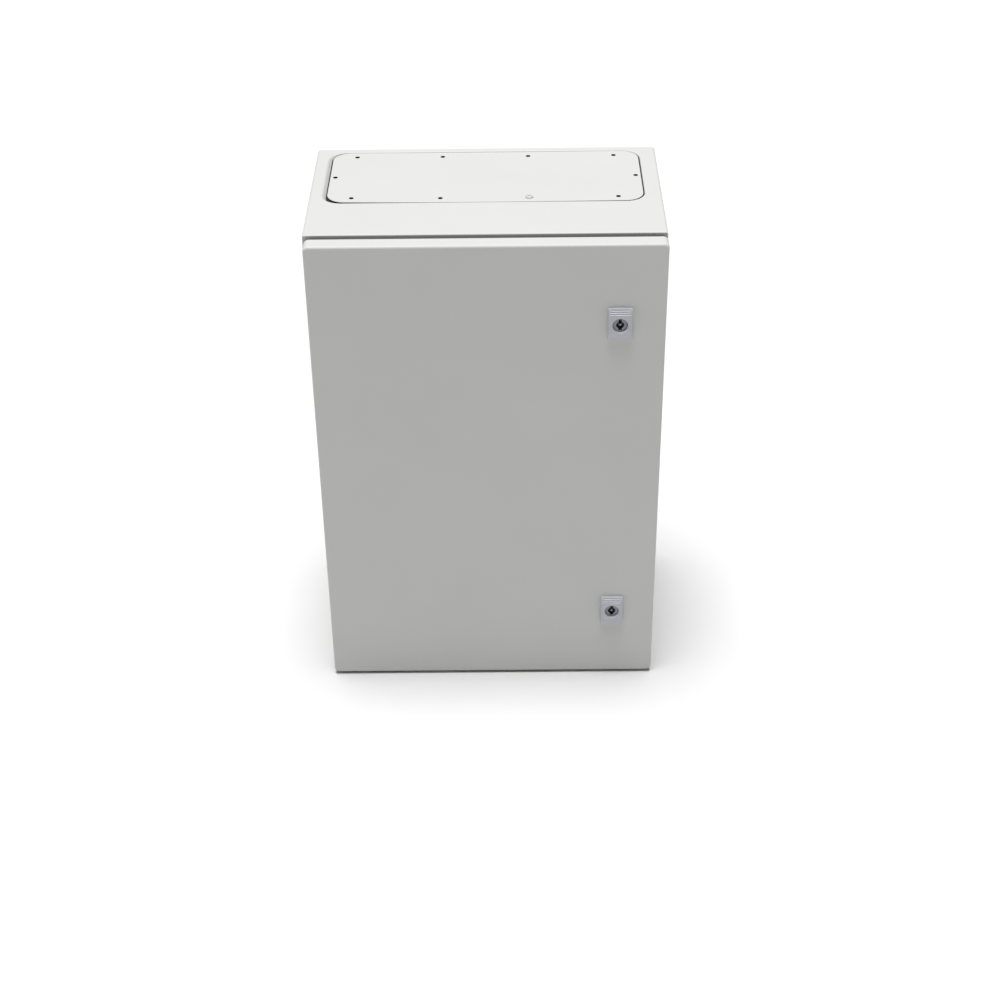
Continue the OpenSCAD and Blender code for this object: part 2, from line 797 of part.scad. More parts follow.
module button_test() { push_button(button_x[2], [0.2, 0.3, 0.6]); }

module terminal_blocks() {
    color(grey_plastic) for (i = [0 : blocks - 1]) translate([0, 0, rail_z]) difference() {
        along_x(block_x0 + i * block_pitch, block_pitch - 0.2) polygon([[rail_y, -24],
            [rail_y - 22, -24], [rail_y - 36, -10], [rail_y - 36, 10], [rail_y - 22, 24], [rail_y, 24]]);
        bar_y(block_x0 + i * block_pitch + 4, rail_y - 40, 0, 4.4, 14);
        for (s = [-1, 1])
            translate([block_x0 + i * block_pitch + 4, rail_y - 16, s * 24 - 6]) cylinder(d = 4.2, h = 12);
    }
}

module wiring_ducts() {
    color(grey_plastic) {
        difference() {
            block([side_duct_x[0], duct_y, side_duct_z[0]], [side_duct_x[1], plate_y, side_duct_z[1]]);
            block([side_duct_x[0] + 1.8, duct_y - 1, side_duct_z[0] - 1],
                [side_duct_x[1] - 1.8, plate_y - 1.8, side_duct_z[1] + 1]);
            for (z = [side_duct_z[0] + duct_pitch : duct_pitch : side_duct_z[1] - duct_pitch / 2])
                block([side_duct_x[0] - 1, duct_y - 1, z - 2.4], [side_duct_x[1] + 1, duct_y + 28, z + 2.4]);
        }
        difference() {
            block([side_duct_x[1] + 0.2, duct_y, duct_z[0]], [rail_x0 + rail_len, plate_y, duct_z[1]]);
            block([side_duct_x[1], duct_y - 1, duct_z[0] + 1.8],
                [rail_x0 + rail_len + 1, plate_y - 1.8, duct_z[1] - 1.8]);
            for (x = [side_duct_x[1] + 6 : duct_pitch : rail_x0 + rail_len - 3])
                block([x - 2.4, duct_y - 1, duct_z[0] - 1], [x + 2.4, duct_y + 28, duct_z[1] + 1]);
        }
    }
}

module duct_covers() {
    color(grey_plastic) {
        block([side_duct_x[0] - 1, duct_y - 1.8, side_duct_z[0]], [side_duct_x[1] + 1, duct_y, side_duct_z[1]]);
        block([side_duct_x[1] + 1.4, duct_y - 1.8, duct_z[0] - 1],
            [rail_x0 + rail_len, duct_y, duct_z[1] + 1]);
    }
}

// Bar with clamping holes on two feet
module link_bar(x0, z, metal, feet) {
    color(metal) difference() {
        block([x0, plate_y - 24, z - 6], [x0 + 104, plate_y - 16, z + 6]);
        for (i = [0 : 7]) bar_y(x0 + 17 + i * 10, plate_y - 30, z, 5, 20);
    }
    color(feet) for (x = [x0 + 2, x0 + 94]) block([x, plate_y - 16, z - 7], [x + 8, plate_y, z + 7]);
}

module earth_bar() { link_bar(-120, 505, copper, grey_plastic); }

module neutral_bar() { link_bar(16, 505, copper, [0.15, 0.35, 0.75]); }

// ---------- Wires ----------

// One round of corner cutting that keeps the two ends
function eased(p) = [p[0], for (i = [0 : len(p) - 2]) each
    [p[i] * 0.75 + p[i + 1] * 0.25, p[i] * 0.25 + p[i + 1] * 0.75], p[len(p) - 1]];
function unit(v) = v / norm(v);
function heading(p, i) = unit(p[min(i + 1, len(p) - 1)] - p[max(i - 1, 0)]);

// Round wire swept along its points; side is any direction that the wire never runs along
module wire(p, d, side = [0.1, 1, 0.05]) {
    n = 8;
    rings = [for (i = [0 : len(p) - 1]) let (t = heading(p, i), a = unit(cross(t, side)), b = cross(t, a))
        for (k = [0 : n - 1]) p[i] + d / 2 * (a * cos(k * 360 / n) + b * sin(k * 360 / n))];
    last = (len(p) - 1) * n;
    polyhedron(rings, concat(
        [[for (k = [0 : n - 1]) k]],
        [for (i = [0 : len(p) - 2], k = [0 : n - 1])
            [i * n + k, (i + 1) * n + k, (i + 1) * n + (k + 1) % n, i * n + (k + 1) % n]],
        [[for (k = [n - 1 : -1 : 0]) last + k]]));
}

// Slot of the level duct that is nearest to x
function slot_near(x) = side_duct_x[1] + 6 + duct_pitch * round((x - side_duct_x[1] - 6) / duct_pitch);

// Short wire from a device at x to the level duct's slot at s
module drop_wire(x, s, z0, z1) {
    e = z1 > z0 ? 1 : -1;
    wire(eased([[x, duct_y + 10, z0], [x, duct_y + 10, z0 + 3 * e], [s, duct_y + 12, z1 - 3 * e],
        [s, duct_y + 12, z1 + 8 * e]]), 2.6);
}

// Sensing wire from the top of a source's terminal, over the barriers, to the side duct;
// wires with a higher rank run higher and come down further to the left
module sense_wire(x, y, z, rank) {
    level = side_duct_z[1] + 4 + 4 * rank;
    end_x = side_duct_x[1] - 4 * (rank + 1);
    wire(eased(eased([[x, y, z], [x, y, z + 8], [x - 4, y + 4, level], [x - 14, y + 4, level],
        [end_x + 14, duct_y + 14, level], [end_x, duct_y + 14, level], [end_x, duct_y + 14, 455]])), 2.6);
}

module control_wires() {
    color([0.25, 0.25, 0.27]) {
        for (x = breaker_x, s = [-9, 9]) drop_wire(x + s, slot_near(x + s), rail_z + 42.1, duct_z[0]);
        for (x = [ctrl_x - 25 : 10 : ctrl_x + 25]) drop_wire(x, slot_near(x), rail_z + 45.1, duct_z[0]);
        for (i = [0 : blocks - 1]) drop_wire(block_x0 + i * block_pitch + 4,
            slot_near(block_x0) + i * duct_pitch, rail_z + 24.1, duct_z[0]);
        for (x = [56 : 10 : 96]) drop_wire(x, slot_near(x), sw_z0 - 0.1, duct_z[1]);
        for (i = [0 : 2]) {
            sense_wire(poles[i], source_a_y, rotor_z + 106.1, i);
            sense_wire(poles[i] + 6, source_b_y, rotor_z + 96.1, i + 3);
        }
    }
}

module earth_wires() {
    color([0.3, 0.6, 0.2]) {
        wire(eased(eased([[-112, plate_y - 24.1, 505], [-112, plate_y - 40, 505], [-140, plate_y - 50, 500],
            [-176, plate_y - 60, 470], [-186, 0, 400], [-187, -40, 330], [-187, earth_stud_y - 4, mid_z + 7]])),
            4, [1, 0.2, 0.1]);
        wire(eased(eased([[-92, plate_y - 24.1, 505], [-92, plate_y - 40, 505], [-112, plate_y - 40, 530],
            [-140, plate_y - 20, 540], [-144, plate_y - 12, 552]])), 4, [0.1, 0.2, 1]);
    }
}

module earth_strap() {
    color([0.3, 0.6, 0.2])
        wire(eased(eased([[-184.5, earth_stud_y, mid_z - 6], [-182, earth_stud_y - 2, mid_z - 40],
            [-172, -82, mid_z - 70], [-158, -94, mid_z - 60], [-150, -104, mid_z - 20],
            [-150, door_in + 12, mid_z + 24]])), 5, [1, 0.3, 0.1]);
}

body_wrap();
rear_wall();
weld_studs();
stud_nuts();
mounting_plate();
gland_gasket();
gland_plate();
gland_screw();
body_hinge_leaves();
hinge_pins();
door_pan();
door_seal();
door_rails();
door_hinge_leaves();
document_pocket();
lock_housings();
lock_nuts();
door_earth_stud();
lock_insert_upper();
lock_cam_upper();
lock_insert_lower();
lock_cam_lower();
earth_strap();
switch_base();
switch_cover();
cover_screws();
cover_window();
source_a_terminals();
source_b_terminals();
load_terminals();
terminal_bolts();
phase_barriers();
arc_chutes();
rotor_shaft();
contact_blades();
drive_gear();
lever_handle();
gearbox_base();
gearbox_cover();
gearmotor();
motor_bracket();
motor_pinion();
din_rail();
end_stops();
breaker_bodies();
breaker_toggle_left();
breaker_toggle_right();
controller_case();
controller_display();
button_auto();
button_manual();
button_test();
terminal_blocks();
wiring_ducts();
duct_covers();
earth_bar();
neutral_bar();
control_wires();
earth_wires();
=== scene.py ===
"""Studio scene of a wall cabinet that holds a motor-driven transfer switch.

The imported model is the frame: it gives every place and size. Each sub-assembly is a class that
builds its own pieces round the frame's nodes and dresses them. Lengths are in metres.
"""
import logging
import math
from dataclasses import dataclass, field
from enum import Enum
from functools import cache
from typing import Callable, Iterable, Sequence

import bmesh
import bpy
from mathutils import Matrix, Vector


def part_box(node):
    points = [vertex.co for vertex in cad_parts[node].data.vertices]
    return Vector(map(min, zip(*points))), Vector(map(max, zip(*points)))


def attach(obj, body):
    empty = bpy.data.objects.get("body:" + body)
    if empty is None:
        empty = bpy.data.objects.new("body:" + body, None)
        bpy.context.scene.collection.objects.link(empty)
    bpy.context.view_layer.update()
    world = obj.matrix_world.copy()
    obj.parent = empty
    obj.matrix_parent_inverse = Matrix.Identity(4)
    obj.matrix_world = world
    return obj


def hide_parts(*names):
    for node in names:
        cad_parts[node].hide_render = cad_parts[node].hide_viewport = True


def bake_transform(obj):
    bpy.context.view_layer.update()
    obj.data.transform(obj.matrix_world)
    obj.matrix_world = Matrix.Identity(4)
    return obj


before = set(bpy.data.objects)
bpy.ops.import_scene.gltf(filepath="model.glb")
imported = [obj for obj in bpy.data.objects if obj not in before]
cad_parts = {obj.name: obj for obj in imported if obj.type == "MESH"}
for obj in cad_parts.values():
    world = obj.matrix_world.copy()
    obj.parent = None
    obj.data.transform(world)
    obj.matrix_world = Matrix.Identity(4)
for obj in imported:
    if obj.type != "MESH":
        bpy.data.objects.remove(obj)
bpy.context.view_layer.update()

LOG = logging.getLogger("cabinet")
MM = 0.001
SEAM = 0.002 * MM  # points nearer than this are one
HAIR = 0.01 * MM  # heights and depths nearer than this are the same
FLAT = math.radians(0.5)  # faces that turn by less than this are one
SHARP = math.radians(38)  # edges that turn by more than this are rounded
Point = tuple[float, float]
Point3 = tuple[float, float, float]
Colour = tuple[float, float, float]


# ---------------------------------------------------------------- shader expressions


class Signal:
    """A number that changes over a surface: an output socket with Python's arithmetic."""

    def __init__(self, book: "NodeBook", socket: bpy.types.NodeSocket) -> None:
        """Wraps a socket.

        Args:
            book: the node book that the socket belongs to.
            socket: the output socket to wrap.
        """
        self.book = book
        self.socket = socket

    def _math(self, operation: str, first: object, second: object = 0.0) -> "Signal":
        """Adds one Math node.

        Args:
            operation: the node's operation.
            first: a Signal or a number.
            second: a Signal or a number.

        Returns:
            The node's output.
        """
        node = self.book.add("ShaderNodeMath", {"operation": operation}, {0: first, 1: second})
        return Signal(self.book, node.outputs[0])

    def __add__(self, other: object) -> "Signal":
        """Sum with a number or another signal."""
        return self._math("ADD", self, other)

    __radd__ = __add__

    def __sub__(self, other: object) -> "Signal":
        """Difference with a number or another signal."""
        return self._math("SUBTRACT", self, other)

    def __rsub__(self, other: object) -> "Signal":
        """Number minus this signal."""
        return self._math("SUBTRACT", other, self)

    def __mul__(self, other: object) -> "Signal":
        """Product with a number or another signal."""
        return self._math("MULTIPLY", self, other)

    __rmul__ = __mul__

    def __lt__(self, other: object) -> "Signal":
        """One where this signal is the lower, and nought elsewhere."""
        return self._math("LESS_THAN", self, other)

    def __gt__(self, other: object) -> "Signal":
        """One where this signal is the higher, and nought elsewhere."""
        return self._math("GREATER_THAN", self, other)

    def wave(self) -> "Signal":
        """The sine of this signal, in radians."""
        return self._math("SINE", self)


class NodeBook:
    """The node tree of one material, written a node at a time."""

    def __init__(self, name: str) -> None:
        """Starts a material with one Principled shader.

        Args:
            name: the material's name.
        """
        self.material = bpy.data.materials.new(name)
        self.material.use_nodes = True
        self.tree = self.material.node_tree
        self.shader = self.tree.nodes["Principled BSDF"]

    def add(self, kind: str, settings: dict | None = None, inputs: dict | None = None) -> bpy.types.Node:
        """Adds a node, sets it up and feeds its sockets.

        Args:
            kind: the node's type.
            settings: its own settings; "stops" fills a colour ramp.
            inputs: values, sockets or signals for its input sockets, by name or number.

        Returns:
            The new node.
        """
        node = self.tree.nodes.new(kind)
        for key, value in (settings or {}).items():
            if key == "stops":
                while len(node.color_ramp.elements) < len(value):
                    node.color_ramp.elements.new(0.5)
                for element, (place, shade) in zip(node.color_ramp.elements, value):
                    element.position = place
                    element.color = (*shade, 1.0)
            else:
                setattr(node, key, value)
        for key, value in (inputs or {}).items():
            self.feed(node.inputs[key], value)
        return node

    def feed(self, socket: bpy.types.NodeSocket, value: object) -> None:
        """Links or sets one input socket.

        Args:
            socket: the input socket.
            value: a Signal, an output socket, a number or a colour.
        """
        if isinstance(value, Signal):
            value = value.socket
        if isinstance(value, bpy.types.NodeSocket):
            self.tree.links.new(value, socket)
        elif isinstance(value, tuple) and len(value) == 3 and socket.type == "RGBA":
            socket.default_value = (*value, 1.0)
        else:
            socket.default_value = value

    def place(self) -> bpy.types.NodeSocket:
        """The point on the piece, in metres."""
        return self.add("ShaderNodeTexCoord").outputs["Object"]

    def stretched(self, scale: Point3) -> bpy.types.NodeSocket:
        """The point on the piece, scaled along each axis."""
        node = self.add("ShaderNodeVectorMath", {"operation": "MULTIPLY"}, {0: self.place(), 1: scale})
        return node.outputs[0]

    def noise(self, pitch: float, detail: float = 2.0, where: bpy.types.NodeSocket | None = None) -> Signal:
        """Cloudy noise.

        Args:
            pitch: the size of a cloud in metres.
            detail: how many finer layers it has.
            where: the point to read it at, the piece's own by default.

        Returns:
            Values round 0.5.
        """
        node = self.add(
            "ShaderNodeTexNoise",
            None,
            {"Vector": where or self.place(), "Scale": 1.0 / pitch, "Detail": detail},
        )
        return Signal(self, node.outputs[0])

    def cells(self, pitch: float, output: str = "Distance") -> bpy.types.NodeSocket:
        """An output of a Voronoi pattern whose cells are pitch metres across."""
        node = self.add("ShaderNodeTexVoronoi", None, {"Vector": self.place(), "Scale": 1.0 / pitch})
        return node.outputs[output]

    def split(self, vector: bpy.types.NodeSocket) -> list[Signal]:
        """The three numbers of a vector or colour."""
        node = self.add("ShaderNodeSeparateXYZ", None, {0: vector})
        return [Signal(self, out) for out in node.outputs]

    def blend(self, low: object, high: object, factor: Signal) -> bpy.types.NodeSocket:
        """A colour between low and high.

        Args:
            low: the colour where factor is 0.
            high: the colour where factor is 1.
            factor: the share of high.

        Returns:
            The mixed colour's socket.
        """
        node = self.add(
            "ShaderNodeMix",
            {"data_type": "RGBA", "clamp_factor": True},
            {0: factor, 6: low, 7: high},
        )
        return node.outputs[2]

    def relief(self, height: Signal, depth: float, strength: float = 1.0) -> None:
        """Feeds the shader's normal from a height field.

        Args:
            height: the height, about 0 to 1.
            depth: how deep a height of 1 is, in metres.
            strength: how much of it shows.
        """
        bump = self.add("ShaderNodeBump", None, {"Height": height, "Distance": depth, "Strength": strength})
        self.feed(self.shader.inputs["Normal"], bump.outputs[0])

    def set(self, **values: object) -> "NodeBook":
        """Sets the Principled shader's sockets.

        Args:
            values: what each socket is fed, by the socket's name with underscores for spaces.

        Returns:
            The book itself.
        """
        for key, value in values.items():
            self.feed(self.shader.inputs[key.replace("_", " ").title().replace("Ior", "IOR")], value)
        return self


# ---------------------------------------------------------------- finishes


@dataclass(frozen=True)
class PowderCoat:
    """Smooth powder coat with a fine orange peel and a few specks of dust in it."""

    name: str
    shade: Colour
    gloss: float = 0.46
    sheen: float = 0.34
    peel: float = 1.1 * MM
    speck_pitch: float = 26 * MM

    def build(self) -> bpy.types.Material:
        """Makes the material.

        Returns:
            The new material.
        """
        book = NodeBook(self.name)
        cloud = book.noise(0.12, 3.0)
        darker = tuple(c * 0.965 for c in self.shade)
        base = book.blend(darker, self.shade, cloud * 1.6 - 0.3)
        dust = Signal(book, book.cells(self.speck_pitch)) < 0.016
        chosen = book.split(book.cells(self.speck_pitch, "Color"))[0] > 0.72
        base = book.blend(base, tuple(c * 0.62 for c in self.shade), dust * chosen)
        peel = book.noise(self.peel, 2.0) + book.noise(self.peel * 7, 1.0) * 0.8 + dust * chosen * 1.5
        book.set(base_color=base, roughness=self.gloss + book.noise(0.02) * 0.08)
        book.set(specular_ior_level=self.sheen)
        book.relief(peel, 0.012 * MM, 0.55)
        return book.material


@dataclass(frozen=True)
class Galvanised:
    """Zinc-coated sheet with a spangle of crystals."""

    name: str
    shade: Colour = (0.58, 0.6, 0.62)
    spangle: float = 7 * MM

    def build(self) -> bpy.types.Material:
        """Makes the material.

        Returns:
            The new material.
        """
        book = NodeBook(self.name)
        grain = book.split(book.cells(self.spangle, "Color"))[0]
        base = book.blend(tuple(c * 0.86 for c in self.shade), self.shade, grain)
        rough = 0.34 + grain * 0.12 + book.noise(0.05) * 0.1
        book.set(base_color=base, metallic=0.92, roughness=rough)
        book.relief(book.noise(0.6 * MM), 0.01 * MM, 0.5)
        return book.material


@dataclass(frozen=True)
class PlatedSteel:
    """Turned or stamped steel with a thin plating and fine tool marks."""

    name: str
    shade: Colour = (0.66, 0.67, 0.69)
    rough: float = 0.28
    grain: Point3 = (1.0, 1.0, 1.0)

    def build(self) -> bpy.types.Material:
        """Makes the material.

        Returns:
            The new material.
        """
        book = NodeBook(self.name)
        streak = book.noise(0.5 * MM, 3.0, book.stretched(self.grain))
        tarnish = book.noise(9 * MM, 3.0)
        base = book.blend(tuple(c * 0.84 for c in self.shade), self.shade, tarnish * 1.4 - 0.2)
        book.set(base_color=base, metallic=0.95, roughness=self.rough + streak * 0.16)
        book.relief(streak, 0.008 * MM, 0.6)
        return book.material


@dataclass(frozen=True)
class DieCast:
    """Die-cast zinc with a satin lacquer."""

    name: str
    shade: Colour = (0.53, 0.535, 0.585)

    def build(self) -> bpy.types.Material:
        """Makes the material.

        Returns:
            The new material.
        """
        book = NodeBook(self.name)
        cloud = book.noise(4 * MM, 3.0)
        base = book.blend(tuple(c * 0.93 for c in self.shade), self.shade, cloud)
        book.set(base_color=base, metallic=0.12, roughness=0.46 + cloud * 0.1)
        book.relief(book.noise(0.35 * MM), 0.012 * MM, 0.5)
        return book.material


@dataclass(frozen=True)
class Moulded:
    """Moulded plastic with a fine spark-eroded grain."""

    name: str
    shade: Colour
    rough: float = 0.42
    grain: float = 0.45 * MM
    depth: float = 0.02 * MM

    def build(self) -> bpy.types.Material:
        """Makes the material.

        Returns:
            The new material.
        """
        book = NodeBook(self.name)
        cloud = book.noise(0.03, 3.0)
        base = book.blend(tuple(c * 0.9 for c in self.shade), self.shade, cloud * 1.4 - 0.2)
        book.set(base_color=base, roughness=self.rough + cloud * 0.12)
        book.relief(book.noise(self.grain, 3.0), self.depth, 0.6)
        return book.material


@dataclass(frozen=True)
class Foam:
    """Closed-cell foam rubber with open pores on its skin."""

    name: str
    shade: Colour = (0.022, 0.022, 0.023)

    def build(self) -> bpy.types.Material:
        """Makes the material.

        Returns:
            The new material.
        """
        book = NodeBook(self.name)
        pores = Signal(book, book.cells(0.9 * MM))
        base = book.blend(tuple(c * 0.5 for c in self.shade), self.shade, pores * 2.2)
        book.set(base_color=base, roughness=0.82 + pores * 0.1)
        book.relief(pores, 0.12 * MM, 0.7)
        return book.material


@dataclass(frozen=True)
class CopperBar:
    """Rolled copper with draw marks and a slight brown tarnish."""

    name: str
    shade: Colour = (0.78, 0.4, 0.25)

    def build(self) -> bpy.types.Material:
        """Makes the material.

        Returns:
            The new material.
        """
        book = NodeBook(self.name)
        drawn = book.noise(0.5 * MM, 2.0, book.stretched((1.0, 1.0, 0.06)))
        tarnish = book.noise(7 * MM, 4.0)
        base = book.blend((0.42, 0.2, 0.13), self.shade, tarnish * 2.2 - 0.4)
        book.set(base_color=base, metallic=1.0, roughness=0.24 + drawn * 0.14)
        book.relief(drawn, 0.008 * MM, 0.6)
        return book.material


@dataclass(frozen=True)
class ClearPane:
    """Clear polycarbonate with faint smears."""

    name: str
    alpha: float = 0.24

    def build(self) -> bpy.types.Material:
        """Makes the material.

        Returns:
            The new material.
        """
        book = NodeBook(self.name)
        smear = book.noise(12 * MM, 3.0)
        book.set(base_color=(0.86, 0.93, 0.95), roughness=0.06 + smear * 0.12, alpha=self.alpha)
        return book.material


@dataclass(frozen=True)
class WireSkin:
    """PVC insulation, in one colour or with a second colour in a slanting stripe."""

    name: str
    shade: Colour
    stripe: Colour | None = None
    pitch: float = 14 * MM

    def build(self) -> bpy.types.Material:
        """Makes the material.

        Returns:
            The new material.
        """
        book = NodeBook(self.name)
        cloud = book.noise(6 * MM, 2.0)
        base = book.blend(tuple(c * 0.85 for c in self.shade), self.shade, cloud)
        if self.stripe:
            x, y, z = book.split(book.place())
            band = ((x + y * 0.7 + z) * (math.tau / self.pitch)).wave() > 0.1
            base = book.blend(base, self.stripe, band)
        book.set(base_color=base, roughness=0.36 + cloud * 0.12)
        book.relief(book.noise(0.8 * MM), 0.02 * MM, 0.4)
        return book.material


@dataclass(frozen=True)
class Lit:
    """Small lens with a faint glow of its own."""

    name: str
    shade: Colour
    power: float = 0.6

    def build(self) -> bpy.types.Material:
        """Makes the material.

        Returns:
            The new material.
        """
        book = NodeBook(self.name)
        cloud = book.noise(1.5 * MM)
        base = book.blend(tuple(c * 0.7 for c in self.shade), self.shade, cloud)
        book.set(base_color=base, roughness=0.15 + cloud * 0.1, emission_color=base)
        book.set(emission_strength=self.power)
        return book.material


class Finish(Enum):
    """Every finish on the cabinet, built once when it is first asked for."""

    PAINT = PowderCoat("light_grey_powder_coat", (0.61, 0.614, 0.6))
    GALVANISED = Galvanised("galvanised_sheet")
    ZINC = PlatedSteel("bright_zinc_plate")
    STEEL = PlatedSteel("bright_steel", (0.5, 0.5, 0.51), 0.32)
    DIE_CAST = DieCast("satin_die_cast_zinc")
    INSERT = PlatedSteel("lock_insert_steel", (0.26, 0.265, 0.3), 0.42)
    PALE_ZINC = DieCast("dull_zinc_screw", (0.6, 0.6, 0.59))
    BRASS = CopperBar("nickelled_brass", (0.72, 0.58, 0.36))
    FOAM = Foam("foam_seal")
    BLACK = Moulded("black_moulding", (0.035, 0.036, 0.039))
    GREY = Moulded("grey_moulding", (0.22, 0.225, 0.235))
    PALE = Moulded("pale_moulding", (0.68, 0.68, 0.65), 0.4)
    MARKER = Moulded("white_marker_moulding", (0.82, 0.83, 0.82), 0.35)
    DUCT = Moulded("trunking_pvc", (0.36, 0.37, 0.385), 0.46, 1.2 * MM, 0.01 * MM)
    RED = Moulded("red_handle_moulding", (0.52, 0.02, 0.018), 0.3)
    GREEN = Moulded("green_button_moulding", (0.03, 0.26, 0.09), 0.28)
    AMBER = Moulded("amber_button_moulding", (0.7, 0.38, 0.03), 0.28)
    BLUE = Moulded("blue_button_moulding", (0.03, 0.1, 0.42), 0.28)
    COPPER = CopperBar("rolled_copper")
    WINDOW = ClearPane("clear_cover_window")
    DISPLAY = Moulded("dark_display_glass", (0.012, 0.02, 0.024), 0.1, 4 * MM, 0.004 * MM)
    LED_GREEN = Lit("green_lamp", (0.1, 0.8, 0.2))
    LED_RED = Lit("red_lamp", (0.75, 0.06, 0.04), 0.15)
    WIRE_GREY = WireSkin("grey_wire", (0.1, 0.1, 0.11))
    WIRE_BROWN = WireSkin("brown_wire", (0.13, 0.045, 0.02))
    WIRE_BLUE = WireSkin("blue_wire", (0.03, 0.12, 0.4))
    WIRE_BLACK = WireSkin("black_wire", (0.02, 0.02, 0.022))
    WIRE_EARTH = WireSkin("green_and_yellow_wire", (0.09, 0.3, 0.04), (0.75, 0.62, 0.03))

    @property
    def material(self) -> bpy.types.Material:
        """The finish's material."""
        found = bpy.data.materials.get(self.value.name)
        return found or self.value.build()


# ---------------------------------------------------------------- mesh work


def rounded_loop(w: float, h: float, r: float, steps: int = 6) -> list[Point]:
    """Outline of a rectangle with round corners, counter-clockwise.

    Args:
        w: its width.
        h: its height.
        r: its corner radius.
        steps: the segments in each corner.

    Returns:
        The outline's points, steps + 1 to a corner.
    """
    loop = []
    for corner, (sx, sy) in enumerate(((1, 1), (-1, 1), (-1, -1), (1, -1))):
        for step in range(steps + 1):
            angle = math.pi / 2 * (corner + step / steps)
            loop.append((sx * (w / 2 - r) + r * math.cos(angle), sy * (h / 2 - r) + r * math.sin(angle)))
    return loop


def circle_loop(x: float, y: float, r: float, count: int = 32) -> list[Point]:
    """Outline of a circle, counter-clockwise."""
    turns = [math.tau * i / count for i in range(count)]
    return [(x + r * math.cos(t), y + r * math.sin(t)) for t in turns]


